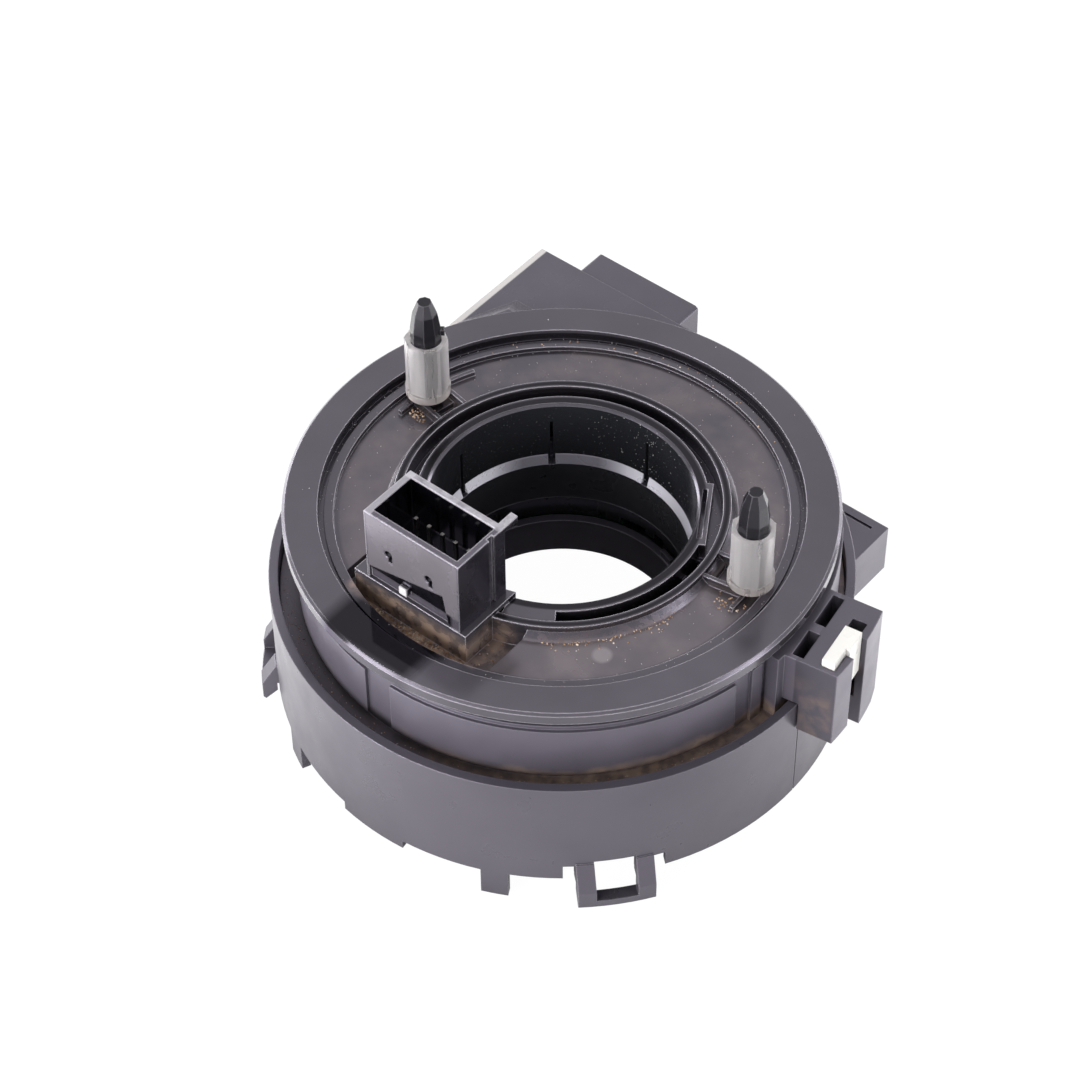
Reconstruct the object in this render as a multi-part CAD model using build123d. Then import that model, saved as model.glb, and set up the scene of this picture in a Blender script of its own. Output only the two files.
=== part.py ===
from build123d import *
import math
import os

# Steering clock spring with a built-in steering angle sensor.
# A wound flat ribbon joins the turning steering wheel to the fixed column.
# Millimetres. +Z runs up the steering axis towards the wheel. z = 0 is the
# underside of the base cover, where the column bore begins.
# Angles are in degrees about +Z, from +X towards +Y.

# Clearances and allowances used all over
seat_clearance = 0.05
running_clearance = 0.08
fit_gap = 0.2
thrust_gap = 0.3
overcut = 1.0
edge_round = 0.5

# Column side: base cover with its collar, and the step from collar to sleeve
collar_r = 22.5
collar_wall = 1.6
collar_height = 8.0
collar_step = 0.9
cover_thickness = 2.0
cover_rim_wall = 1.0
cover_rim_height = 4.0
collar_hook_angles = (71.5, 155.0, 20.0)
collar_hook_width = 3.0
collar_hook_height = 1.4
collar_hook_inset = 0.3
collar_hook_reach = 0.9

# Hub: the tube in the middle of the rotor disc, with a raised ring around it
lead_in_step = 0.8
hub_wall = 1.6
hub_depth = 14.9
rim_wall = 2.2
rim_drop = 0.4
groove_width = 2.4
groove_depth = 3.5
groove_web = 0.8
ring_wall_thickness = 1.5
ring_wall_drop = 0.2
ring_wall_gap = 0.4
wall_foot = 1.3
finger_count = 8
finger_slit = 0.6
finger_slit_height = 10.5
first_finger_angle = -1.2

# Rotor disc: the wide moulded plate that turns with the steering wheel
floor_width = 10.5
ledge_width = 1.7
drain_width = 1.1
band_width = 6.4
plate_thickness = 2.0
floor_drop = 2.7
ledge_drop = 1.7
drain_drop = 2.3
flange_edge = 2.4
skirt_inset = 0.8
skirt_wall = 1.2
skirt_gap = 0.9

# Hub sleeve: the lower half of the tube, which runs in the cable housing
sleeve_height = 9.0
lead_in_height = 2.1
lead_in_gap = 1.4
socket_wall = 1.3
socket_height = 3.5
thrust_height = 1.7
thrust_overhang = 1.6
journal_wall = 3.0
journal_height = 2.2
gear_seat_wall = 2.0

# Cable housing: floor, drum wall and shoulder around the ribbon
floor_thickness = 1.6
chamber_height = 15.1
drum_gap = 0.3
drum_wall = 1.4
drum_height = 13.5
panel_raise = 0.7
panel_foot = 1.4
panel_drop = 0.8
panel_spans = ((158.0, 264.0), (271.0, 348.0))
drum_rib_span = (352.6, 355.6)
shoulder_reach = 2.4
shoulder_rise = 1.5
shoulder_span = (-3.0, 158.0)

# Sensor housing: the outer ring with the web above the gears
ring_gap = 1.3
ring_wall = 1.7
ring_rise = 3.5
ring_below = 3.2
ring_lining = 1.2
web_thickness = 1.4
web_bore_gap = 1.6
parting_angle = 0.5
parting_width = 0.25

# Snap loops, lugs and lip on the lower edge of the ring
loop_angles = (319.3, 220.0, 90.0)
loop_width = 14.0
loop_plate = 0.3
loop_plate_thickness = 1.7
loop_rise = 3.95
loop_drop = 5.1
loop_face = 4.2
loop_reach = 2.8
loop_sill = 2.05
loop_heel = 0.8
loop_chamfer = 2.4
loop_window_width = 7.5
loop_window_rise = 4.45
loop_notch = 2.2
loop_notch_height = 3.4
lug_angles = (296.2, 242.8)
lug_depth = 6.3
lug_width = 5.0
lip_span = (262.0, 277.0)
lip_depth = 2.0

# Corner box of the sensor housing, at the back on the right
corner_box_inset = (12.4, 8.65)
corner_box_drop = 0.9
corner_box_height = 11.6
corner_box_wall = 1.6
corner_box_chamfer = 1.2
corner_groove = 0.6
corner_groove_inset = 1.7
corner_groove_end = 2.4

# Lock block on the side of the cable housing, with its sliding lock
block_angle = 9.0
block_width = 17.5
block_root = 1.0
block_height = 18.0
block_leg = 4.7
block_corner = 2.5
block_skin = 1.6
pocket_wall = 0.2
pocket_width = 2.2
pocket_spans = ((-7.9, -1.6), (0.4, 7.8))
pocket_depth = 14.0
slot_wall = 3.2
slot_width = 2.8
slot_span = (-7.8, 4.7)
slot_depth = 16.0
mouth_span = (-3.6, 1.4)
lock_clearance = 0.15
lock_length = 8.9
lock_height = 10.0
lock_proud = 1.6
lobe_reach = 0.6

# Driver posts on the rotor disc, each in a clear sleeve
post_offset = 7.5
post_angles = {"left": 170.0, "right": 10.0}
post_r = 2.85
post_shank = 13.9
post_straight = 3.6
post_shoulder = 3.8
post_shoulder_r = 2.3
post_nose = 2.6
post_nose_r = 1.35
post_sides = 8
barb_turn = {"left": -130.0, "right": 130.0}
barb_rise = 2.2
barb_reach = 0.6
barb_height = 1.2
bush_flat_r = 3.75
bush_clearance = 0.1
bush_height = 14.9
bush_foot_r = 4.2
bush_foot_height = 1.6
foot_rib = 0.8
foot_rib_spacing = 3.0
foot_rib_height = 1.8
foot_pocket_depth = 1.2
foot_cross_span = {"left": (-15.5, 10.5), "right": (-10.5, 15.5)}
foot_cross_height = 1.0
foot_cross_offset = 7.9

# Clip lug and openings in the groove round the hub
clip_angle = 31.9
clip_reach = 2.3
clip_length = 15.0
clip_slot = 0.8
clip_slot_length = 12.0
clip_wall = 0.9
trough_span = (-53.0, 2.5)
square_hole_span = (5.0, 14.0)
slit_span = (50.0, 64.0)
bridge_from = -72.0

# Wheel-side connector on its pedestal
shroud_middle = -3.6
shroud_width = 21.2
shroud_depth = 12.2
shroud_overhang = 0.4
shroud_height = 16.5
shroud_wall = 1.2
header_rise = 6.5
header_thickness = 1.6
pedestal_left = 13.5
pedestal_right = 11.9
pedestal_depth = 13.6
pedestal_overhang = 1.6
pedestal_height = 6.7
recess_left = 16.4
recess_right = 17.8
recess_plate = 1.0
recess_headroom = 1.5
keyhole_places = (-5.4, 3.7)
keyhole_drop = 7.7
keyhole_r = 0.85
keyhole_length = 1.9
keyhole_slot = 0.9
scoop_left_height = 3.1
scoop_right_height = 6.7
scoop_right = 8.0
scoop_depth = 0.6
peg_place = -1.9
peg_rise = 2.3
peg_side = 1.7
peg_reach = 1.2
key_rib_width = 1.4
key_rib_reach = 3.4
key_rib_height = 1.4
side_groove_inset = 2.8
side_groove_width = 1.3
side_groove_depth = 0.6
pin_side = 0.64
pin_pitch = 3.0
pin_columns = 5
pin_row_pitch = 4.0
pin_tail = 2.4
wheel_pin_length = 8.5

# Vehicle-side connector behind the ring
box_back = 4.6
box_left = 0.9
box_width = 38.5
box_depth = 28.0
box_rise = 9.0
box_height = 18.0
box_wall = 1.6
duct_foot = (0.2, 5.6, 13.4)
duct_crown = (10.2, 5.7)
hood_inset = 9.4
hood_width = 24.6
hood_reach = 6.4
hood_step = 0.3
hood_height = 14.8
hood_round = 0.8
hood_wall = 1.4
back_header_inset = 4.0
back_header = 2.0
back_pin_tail = 1.5
back_pin_length = 10.0

# Ribbon cable and what holds its ends
ribbon_thickness = 0.3
ribbon_turns = 4
ribbon_start = 1.6
ribbon_margin = 2.0
ribbon_gap = 0.7
ribbon_height = 10.6
cable_end_span = 8.0
glide_thickness = 0.25
glide_margin = 0.7

# Steering angle sensor: drive gear, two measuring gears, magnets and board
gear_module = 1.0
gear_rim = 2.5
pressure_angle = 20.0
backlash = 0.16
gear_face = 4.5
gear_notch_spans = ((80.7, 86.0), (91.0, 103.5), (110.0, 113.6))
gear_notch_height = 1.4
gear_notch_depth = 0.9
gear_headroom = 3.5
measuring_teeth = {"a": 18, "b": 20}
measuring_places = {"a": 0.375, "b": 0.5}
axle_r = 1.5
axle_boss_r = 2.6
axle_boss_gap = 0.3
gear_hub_r = 4.0
gear_hub_height = 1.4
gear_floor = 1.0
magnet_r = 2.5
magnet_height = 2.0
magnet_seat = 0.4
magnet_gap = 0.4
chip_side = 5.0
chip_height = 0.8
controller_side = 7.0
controller_angle = 157.0
board_thickness = 1.6
board_gap = 0.6
board_inset = 4.9
board_margin = 2.1
board_span = (105.0, 215.0)
board_post_angles = (109.0, 211.0)
board_post_inset = 2.4
board_post_r = 1.9
board_peg_r = 1.0

# Radii, from the bore outwards
sleeve_r = collar_r + collar_step
hub_r = sleeve_r + lead_in_step
rim_r = hub_r + rim_wall
ring_wall_in_r = rim_r + groove_width
ring_wall_out_r = ring_wall_in_r + ring_wall_thickness
ledge_in_r = ring_wall_out_r + floor_width
ledge_out_r = ledge_in_r + ledge_width
band_r = ledge_out_r + drain_width
flange_r = band_r + band_width
skirt_r = band_r + skirt_inset
skirt_out_r = skirt_r + skirt_wall
drum_in_r = skirt_out_r + drum_gap
wall_r = drum_in_r + drum_wall
drum_r = wall_r + panel_raise
shoulder_r = drum_r + shoulder_reach
ring_in_r = shoulder_r + ring_gap
ring_r = ring_in_r + ring_wall
lining_r = ring_in_r - ring_lining
collar_out_r = collar_r + collar_wall
hub_out_r = hub_r + hub_wall
journal_r = sleeve_r + journal_wall
thrust_r = journal_r + thrust_overhang
gear_seat_r = sleeve_r + gear_seat_wall
web_bore_r = thrust_r + web_bore_gap
ribbon_in_r = ring_wall_out_r + ribbon_start
ribbon_pitch = (drum_in_r - ribbon_margin - ribbon_in_r) / ribbon_turns
post_pitch_r = ring_wall_out_r + post_offset
bush_corner_r = bush_flat_r / math.cos(math.pi / post_sides)
block_in = shoulder_r - block_root
pocket_in = shoulder_r + pocket_wall
pocket_out = pocket_in + pocket_width
slot_in = pocket_out + slot_wall
slot_out = slot_in + slot_width
block_r = slot_out + block_skin
board_in_r = collar_out_r + board_inset
board_out_r = lining_r - board_margin
board_post_radii = (board_in_r + board_post_inset, board_out_r - board_post_inset)
drive_teeth = 2 * math.ceil((gear_seat_r + gear_rim) / gear_module)
tooth_step = 360 / drive_teeth

# Heights, from the base cover upwards
ring_bottom = -ring_below
board_bottom = cover_thickness + board_gap
board_top = board_bottom + board_thickness
magnet_bottom = board_top + chip_height + magnet_gap
magnet_top = magnet_bottom + magnet_height
gear_bottom = magnet_top - magnet_seat
gear_top = gear_bottom + gear_face
web_under = gear_top + gear_headroom
web_top = web_under + web_thickness
housing_floor = web_top + floor_thickness
ring_top = housing_floor + ring_rise
ribbon_bottom = housing_floor + ribbon_gap
ribbon_top = ribbon_bottom + ribbon_height
skirt_bottom = ribbon_top + skirt_gap
drum_top = housing_floor + drum_height
shoulder_top = drum_top + shoulder_rise
plate_under = housing_floor + chamber_height
floor_z = plate_under + plate_thickness
flange_top = floor_z + floor_drop
ledge_z = flange_top - ledge_drop
drain_z = flange_top - drain_drop
rim_top = flange_top - rim_drop
groove_z = rim_top - groove_depth
hub_bottom = rim_top - hub_depth
ring_wall_top = flange_top - ring_wall_drop
ring_wall_bottom = housing_floor + ring_wall_gap
thrust_bottom = housing_floor + thrust_gap
thrust_top = thrust_bottom + thrust_height
journal_bottom = thrust_bottom - journal_height
sleeve_bottom = hub_bottom - sleeve_height
recess_floor = ribbon_top + recess_headroom + recess_plate
pedestal_top = recess_floor + pedestal_height
shroud_top = pedestal_top + shroud_height
header_top = pedestal_top + header_rise
header_bottom = header_top - header_thickness
rib_top = floor_z + foot_rib_height
bush_top = floor_z + bush_height
block_top = shoulder_top
block_bottom = block_top - block_height
block_leg_bottom = block_bottom - block_leg

# Edges of the wheel-side connector, its pedestal and the sunk recess
shroud_x = (shroud_middle - shroud_width / 2, shroud_middle + shroud_width / 2)
shroud_y = (shroud_overhang - hub_r - shroud_depth, shroud_overhang - hub_r)
pedestal_x = (shroud_middle - pedestal_left, shroud_middle + pedestal_right)
pedestal_y = (pedestal_overhang - hub_r - pedestal_depth, pedestal_overhang - hub_r)
recess_x = (shroud_middle - recess_left, shroud_middle + recess_right)

# Edges of the vehicle-side connector and its hood
box_x = (box_left - ring_r, box_left - ring_r + box_width)
box_y = (ring_r + box_back - box_depth, ring_r + box_back)
box_z = (housing_floor + box_rise - box_height, housing_floor + box_rise)
hood_x = (box_x[0] + hood_inset, box_x[0] + hood_inset + hood_width)
hood_z = (box_z[1] - hood_step - hood_height, box_z[1] - hood_step)
hood_y = (box_y[1] - back_header_inset, box_y[1] + hood_reach)


def ring(r_in, r_out, z_low, z_high):
    """Flat ring about the axis."""
    return extrude(Pos(0, 0, z_low) * (Circle(r_out) - Circle(r_in)), z_high - z_low)


def drum(r, z_low, z_high):
    """Solid cylinder about the axis."""
    return extrude(Pos(0, 0, z_low) * Circle(r), z_high - z_low)


def arc_ring(r_in, r_out, z_low, z_high, a_from, a_to):
    """Part of a flat ring, from one angle to another."""
    outer = CenterArc((0, 0), r_out, a_from, a_to - a_from)
    inner = CenterArc((0, 0), r_in, a_from, a_to - a_from)
    face = make_face([outer, inner, Line(outer @ 0, inner @ 0), Line(outer @ 1, inner @ 1)])
    return extrude(Pos(0, 0, z_low) * face, z_high - z_low, dir=(0, 0, 1))


def turned(points):
    """Body of revolution, from points given as radius and height."""
    section = make_face(Polyline(*[(r, 0, z) for r, z in points], close=True))
    return revolve(section, Axis.Z)


def block(x, y, z):
    """Box between two values on each axis."""
    size = (x[1] - x[0], y[1] - y[0], z[1] - z[0])
    return Pos((x[0] + x[1]) / 2, (y[0] + y[1]) / 2, (z[0] + z[1]) / 2) * Box(*size)


def at_angle(shape, angle):
    """Turns a shape that was drawn along +X round to an angle."""
    return Rot(0, 0, angle) * shape


def polar(r, angle):
    """Point at a radius and an angle."""
    return r * math.cos(math.radians(angle)), r * math.sin(math.radians(angle))


def span_at(r, width):
    """Angle that a width takes up at a radius."""
    return math.degrees(width / r)


def finger_angles():
    """Angles of the seams between the snap fingers of the hub."""
    return [first_finger_angle + number * 360 / finger_count for number in range(finger_count)]


# Rotor


def rotor_profile():
    """Section of the rotor disc with its hub tube, ring wall and skirt."""
    return [
        (hub_r, hub_bottom),
        (hub_r, rim_top - edge_round),
        (hub_r + edge_round, rim_top),
        (rim_r, rim_top),
        (rim_r, groove_z),
        (ring_wall_in_r, groove_z),
        (ring_wall_in_r, ring_wall_top),
        (ring_wall_out_r, ring_wall_top),
        (ring_wall_out_r, floor_z + wall_foot),
        (ring_wall_out_r + wall_foot, floor_z),
        (ledge_in_r, floor_z),
        (ledge_in_r, ledge_z),
        (ledge_out_r, ledge_z),
        (ledge_out_r, drain_z),
        (band_r, drain_z),
        (band_r, flange_top),
        (flange_r - edge_round, flange_top),
        (flange_r, flange_top - edge_round),
        (flange_r, flange_top - flange_edge),
        (skirt_out_r, flange_top - flange_edge),
        (skirt_out_r, skirt_bottom),
        (skirt_r, skirt_bottom),
        (skirt_r, plate_under),
        (ring_wall_out_r, plate_under),
        (ring_wall_out_r, ring_wall_bottom),
        (ring_wall_in_r, ring_wall_bottom),
        (ring_wall_in_r, groove_z - groove_web),
        (hub_out_r, groove_z - groove_web),
        (hub_out_r, hub_bottom),
    ]


def make_driver_post(side):
    """Driver post with a flat-tipped, faceted point and a snap barb, on the rotor disc."""
    levels = [floor_z + post_shank]
    for step in (post_straight, post_shoulder, post_nose):
        levels.append(levels[-1] + step)
    radii = (post_r, post_r, post_shoulder_r, post_nose_r)
    faces = [Pos(0, 0, z) * RegularPolygon(r, post_sides) for z, r in zip(levels, radii)]
    barb_z = levels[0] + barb_rise
    barb = block((0, post_r + barb_reach), (-barb_reach, barb_reach), (barb_z, barb_z + barb_height))
    post = drum(post_r, floor_z, levels[0]) + loft(faces, ruled=True) + at_angle(barb, barb_turn[side])
    return at_angle(Pos(post_pitch_r, 0, 0) * post, post_angles[side])


def post_foot(side):
    """Ribs on the disc round the foot of a driver post at angle zero."""
    half = foot_rib / 2
    low = floor_z - foot_rib
    near = ring_wall_out_r - foot_rib
    cross_r = ring_wall_out_r + foot_cross_offset
    ribs = arc_ring(cross_r - half, cross_r + half, low, floor_z + foot_cross_height, *foot_cross_span[side])
    for y in (-foot_rib_spacing, foot_rib_spacing):
        ribs += block((near, post_pitch_r), (y - half, y + half), (low, rib_top))
    return ribs - Pos(post_pitch_r, 0, 0) * drum(post_r, floor_z, rib_top)


def foot_pocket():
    """Sunk pocket between the two ribs, on the hub side of the post."""
    half = foot_rib_spacing - foot_rib / 2
    return block((ring_wall_out_r + wall_foot, post_pitch_r - bush_foot_r), (-half, half),
                 (floor_z - foot_pocket_depth, rib_top))


def clip_lug():
    """Straight lug across the groove, with a slot for a clip."""
    half = clip_length / 2
    lug_face = hub_r + clip_reach
    slot_edge = lug_face - clip_wall
    lug = block((hub_r + edge_round, lug_face), (-half, half), (groove_z - groove_web, rim_top))
    slot = block((slot_edge - clip_slot, slot_edge), (-clip_slot_length / 2, clip_slot_length / 2),
                 (groove_z, flange_top))
    return lug, slot


def make_rotor_flange():
    """Rotor disc, hub tube, ring wall, skirt, pedestal and foot ribs, in one moulding."""
    area_y = (-ledge_in_r, pedestal_y[1])
    tub_x = (recess_x[0] - recess_plate, recess_x[1] + recess_plate)
    tub = ring(ring_wall_out_r, ledge_in_r, recess_floor - recess_plate, plate_under)
    tub &= block(tub_x, area_y, (0, flange_top))
    recess = ring(ring_wall_out_r, ledge_in_r, recess_floor, flange_top)
    recess &= block(recess_x, area_y, (0, flange_top))
    pedestal = block(pedestal_x, pedestal_y, (recess_floor, pedestal_top)) - drum(hub_r, 0, shroud_top)
    bridge = arc_ring(rim_r - edge_round, ring_wall_in_r + edge_round, groove_z, rim_top,
                      bridge_from, trough_span[0])
    lug, lug_slot = clip_lug()
    disc = turned(rotor_profile()) + tub - recess + pedestal + bridge
    disc = disc + at_angle(lug, clip_angle) - at_angle(lug_slot, clip_angle)

    through = (groove_z - 2 * groove_web, flange_top)
    disc -= arc_ring(rim_r, ring_wall_in_r, *through, *trough_span)
    disc -= arc_ring(rim_r, ring_wall_in_r, *through, *square_hole_span)
    disc -= arc_ring(rim_r, rim_r + clip_slot, *through, *slit_span)
    for angle in finger_angles():
        slit = block((hub_r - edge_round, hub_out_r + seat_clearance), (-finger_slit / 2, finger_slit / 2),
                     (hub_bottom, hub_bottom + finger_slit_height))
        disc -= at_angle(slit, angle)
    for side, angle in post_angles.items():
        disc = disc + at_angle(post_foot(side), angle) - at_angle(foot_pocket(), angle)
    return disc


def make_hub_sleeve():
    """Lower hub tube: socket for the upper tube, thrust collar, journal and gear seat."""
    socket_r = hub_out_r + seat_clearance
    lead_in_r = hub_r - seat_clearance
    body = turned([
        (sleeve_r, sleeve_bottom),
        (gear_seat_r, sleeve_bottom),
        (gear_seat_r, journal_bottom),
        (journal_r, journal_bottom),
        (journal_r, thrust_bottom),
        (thrust_r, thrust_bottom),
        (thrust_r, thrust_top),
        (socket_r + socket_wall, thrust_top),
        (socket_r + socket_wall, hub_bottom + socket_height),
        (socket_r, hub_bottom + socket_height),
        (socket_r, hub_bottom),
        (lead_in_r, hub_bottom),
        (lead_in_r, hub_bottom + lead_in_height),
        (sleeve_r, hub_bottom),
    ])
    for angle in finger_angles():
        gap = block((sleeve_r - edge_round, hub_r), (-lead_in_gap / 2, lead_in_gap / 2),
                    (hub_bottom, hub_bottom + lead_in_height))
        body -= at_angle(gap, angle)
    return body


def make_bush(side):
    """Clear eight-sided sleeve round a driver post, with a round foot."""
    sleeve = extrude(Pos(0, 0, rib_top) * RegularPolygon(bush_corner_r, post_sides), bush_top - rib_top)
    foot = drum(bush_foot_r, rib_top, rib_top + bush_foot_height)
    bore = drum(post_r + bush_clearance, rib_top, bush_top)
    return at_angle(Pos(post_pitch_r, 0, 0) * (sleeve + foot - bore), post_angles[side])


def pin_grid():
    """Places of the wheel-side connector's pins."""
    middle_x = sum(shroud_x) / 2
    middle_y = sum(shroud_y) / 2
    return [
        (middle_x + (column - (pin_columns - 1) / 2) * pin_pitch, middle_y + row * pin_row_pitch / 2)
        for column in range(pin_columns)
        for row in (-1, 1)
    ]


def make_wheel_pins():
    """Square pins of the wheel-side connector."""
    half = pin_side / 2
    low = header_bottom - pin_tail
    return [
        block((x - half, x + half), (y - half, y + half), (low, low + wheel_pin_length))
        for x, y in pin_grid()
    ]


def keyhole(x):
    """Round hole with a slot below it, through the front wall of the shroud."""
    front = (shroud_y[0] - edge_round, shroud_y[0] + shroud_wall + edge_round)
    z = shroud_top - keyhole_drop
    hole = Pos(x, sum(front) / 2, z) * Rot(90, 0, 0) * Cylinder(keyhole_r, front[1] - front[0])
    return hole + block((x, x + keyhole_slot), front, (z - keyhole_length, z))


def make_wheel_connector():
    """Open-topped connector shroud, with header, keyholes, scooped front and key rib."""
    outside = block(shroud_x, shroud_y, (pedestal_top, shroud_top))
    inner_x = (shroud_x[0] + shroud_wall, shroud_x[1] - shroud_wall)
    inner_y = (shroud_y[0] + shroud_wall, shroud_y[1] - shroud_wall)
    body = outside - block(inner_x, inner_y, (header_top, shroud_top))
    body -= block(inner_x, inner_y, (pedestal_top, header_bottom))
    for place in keyhole_places:
        body -= keyhole(shroud_middle + place)
    left = shroud_x[0] + edge_round
    right = shroud_middle + scoop_right
    scoop = make_face(Polyline(
        (left, 0, pedestal_top), (right, 0, pedestal_top),
        (right - shroud_wall, 0, pedestal_top + scoop_right_height),
        (left, 0, pedestal_top + scoop_left_height), close=True))
    body -= extrude(Pos(0, shroud_y[0], 0) * scoop, scoop_depth, dir=(0, 1, 0))
    peg_x = shroud_middle + peg_place
    peg_z = pedestal_top + peg_rise
    half = peg_side / 2
    body += block((peg_x - half, peg_x + half),
                  (shroud_y[0] + scoop_depth - peg_reach, shroud_y[0] + shroud_wall),
                  (peg_z - half, peg_z + half))
    body += block((shroud_x[1] - key_rib_width, shroud_x[1]),
                  (shroud_y[1] - edge_round, shroud_y[1] + key_rib_reach),
                  (shroud_top - key_rib_height, shroud_top))
    groove_y = shroud_y[1] - side_groove_inset
    body -= block((shroud_x[1] - side_groove_depth, shroud_x[1]),
                  (groove_y - side_groove_width, groove_y), (pedestal_top, shroud_top))
    for pin in make_wheel_pins():
        body -= pin
    return body


# Cable housing


def lock_block():
    """Block for the sliding lock, drawn at angle zero: pockets, slot and open mouth."""
    half = block_width / 2
    far = block_r + overcut
    clear_of_ring = drum(ring_r + fit_gap, -ring_r, ring_top + fit_gap)
    body = block((block_in, far), (-half, half), (block_bottom, block_top))
    body += block((block_in, far), (mouth_span[1], half), (block_leg_bottom, block_bottom))
    corner = Box(block_r, block_corner, block_corner)
    corner = Pos(block_r, half, block_leg_bottom) * Rot(45, 0, 0) * corner
    body = (body & drum(block_r, 0, block_top)) - clear_of_ring - corner
    for span in pocket_spans:
        body -= block((pocket_in, pocket_out), span, (block_top - pocket_depth, block_top))
    body -= block((slot_in, slot_out), slot_span, (block_top - slot_depth, block_top))
    body -= block((slot_in, far), mouth_span, (block_leg_bottom, block_top))
    return body


def make_lock_slider():
    """T-shaped sliding lock, raised in its slot."""
    low_z = block_top + lock_proud - lock_height
    z = (low_z, block_top + lock_proud)
    bar_y = (slot_span[0] + lock_clearance, slot_span[0] + lock_clearance + lock_length)
    bar = block((slot_in + lock_clearance, slot_out - lock_clearance), bar_y, z)
    lobe = block((slot_in + lock_clearance, slot_out + lobe_reach),
                 (mouth_span[0] + lock_clearance, mouth_span[1] - lock_clearance), z)
    return at_angle(bar + lobe, block_angle)


def make_cable_housing():
    """Fixed drum that holds the ribbon: floor, wall, raised panels, shoulder and lock block."""
    bore = journal_r + running_clearance
    floor_r = ring_in_r - fit_gap
    body = turned([
        (bore, web_top), (floor_r, web_top), (floor_r, housing_floor), (wall_r, housing_floor),
        (wall_r, drum_top), (drum_in_r, drum_top), (drum_in_r, housing_floor), (bore, housing_floor),
    ])
    inside = drum_in_r + drum_wall / 2
    for span in panel_spans:
        body += arc_ring(inside, drum_r, housing_floor + panel_foot, drum_top - panel_drop, *span)
    body += arc_ring(inside, drum_r, housing_floor, drum_top, *drum_rib_span)
    body += arc_ring(drum_in_r, shoulder_r, housing_floor, shoulder_top, *shoulder_span)
    return body + at_angle(lock_block(), block_angle)


# Sensor housing


def snap_loop():
    """Snap loop below the ring at angle zero: two sloping legs, an open window and a thick bar."""
    half = loop_width / 2
    r_plate = ring_r + loop_plate
    r_in = r_plate - loop_plate_thickness
    r_bar = r_plate + loop_reach
    low = ring_bottom - loop_drop
    high = ring_bottom + loop_rise
    heel = ring_bottom - loop_heel
    profile = [
        (r_in, high), (r_plate, high), (r_bar, low + loop_face), (r_bar, low + edge_round),
        (r_bar - edge_round, low), (r_plate, low + loop_chamfer), (r_plate, heel), (r_in, heel),
    ]
    body = turned(profile) & block((0, r_bar), (-half, half), (low, high))
    half_window = loop_window_width / 2
    window = block((r_in - overcut, r_bar + overcut), (-half_window, half_window),
                   (low + loop_sill, ring_bottom + loop_window_rise))
    return body, window


def ring_notches():
    """Relief notches beside a snap loop at angle zero."""
    half = loop_width / 2
    x = (ring_in_r - overcut, ring_r + overcut)
    z = (ring_bottom - edge_round, ring_bottom + loop_notch_height)
    return [block(x, (start, start + loop_notch), z) for start in (half, -half - loop_notch)]


def corner_box():
    """Hollow corner box outside the ring, open below, with a groove along its top."""
    top = ring_top - corner_box_drop
    low = top - corner_box_height
    near = ring_in_r / 2
    x, y = (ring_r - inset for inset in corner_box_inset)
    wall = corner_box_wall
    hollow = block((near, x - wall), (near, y - wall), (low, top - wall)) - drum(ring_r, 0, ring_top)
    groove_y = y - corner_groove_inset
    groove = block((near, x - corner_groove_end), (groove_y - corner_groove, groove_y),
                   (top - edge_round, top))
    edge = Pos(x, 0, low) * Rot(0, 45, 0) * Box(corner_box_chamfer, ring_r * 2, corner_box_chamfer)
    body = block((near, x), (near, y), (low, top)) - hollow - groove - edge
    return body - drum(ring_in_r + edge_round, 0, ring_top)


def measuring_centre(name):
    """Distance and angle of a measuring gear's axle from the steering axis."""
    distance = gear_module * (drive_teeth + measuring_teeth[name]) / 2
    return distance, round(measuring_places[name] * drive_teeth) * tooth_step


def make_sensor_housing():
    """Outer ring, web, snap loops, lugs, lip, corner box and gear axles, in one moulding."""
    body = turned([
        (ring_r, ring_bottom), (ring_r, ring_top), (ring_in_r, ring_top), (ring_in_r, web_top),
        (web_bore_r, web_top), (web_bore_r, web_under), (lining_r, web_under),
        (lining_r, cover_rim_height), (ring_in_r, cover_rim_height), (ring_in_r, ring_bottom),
    ])
    for angle in loop_angles:
        loop, window = snap_loop()
        for notch in ring_notches():
            body -= at_angle(notch, angle)
        body = body + at_angle(loop, angle) - at_angle(window, angle)
    half = span_at(ring_r, lug_width) / 2
    for angle in lug_angles:
        body += arc_ring(ring_in_r, ring_r, ring_bottom - lug_depth, ring_bottom, angle - half, angle + half)
    body += arc_ring(ring_in_r, ring_r, ring_bottom - lip_depth, ring_bottom, *lip_span)
    body += corner_box()
    line = block((ring_r - parting_width, ring_r + overcut), (-parting_width / 2, parting_width / 2),
                 (ring_bottom, ring_top))
    body -= at_angle(line, parting_angle)
    axle = drum(axle_r, magnet_top + gear_floor + axle_boss_gap, web_under)
    axle += drum(axle_boss_r, gear_top + axle_boss_gap, web_under)
    for name in measuring_teeth:
        distance, angle = measuring_centre(name)
        body += at_angle(Pos(distance, 0, 0) * axle, angle)
    return body


def board_posts(r, z_low, z_high):
    """Cylinders at the board's four fixing points."""
    return [
        Pos(*polar(distance, angle), 0) * drum(r, z_low, z_high)
        for angle in board_post_angles
        for distance in board_post_radii
    ]


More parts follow.
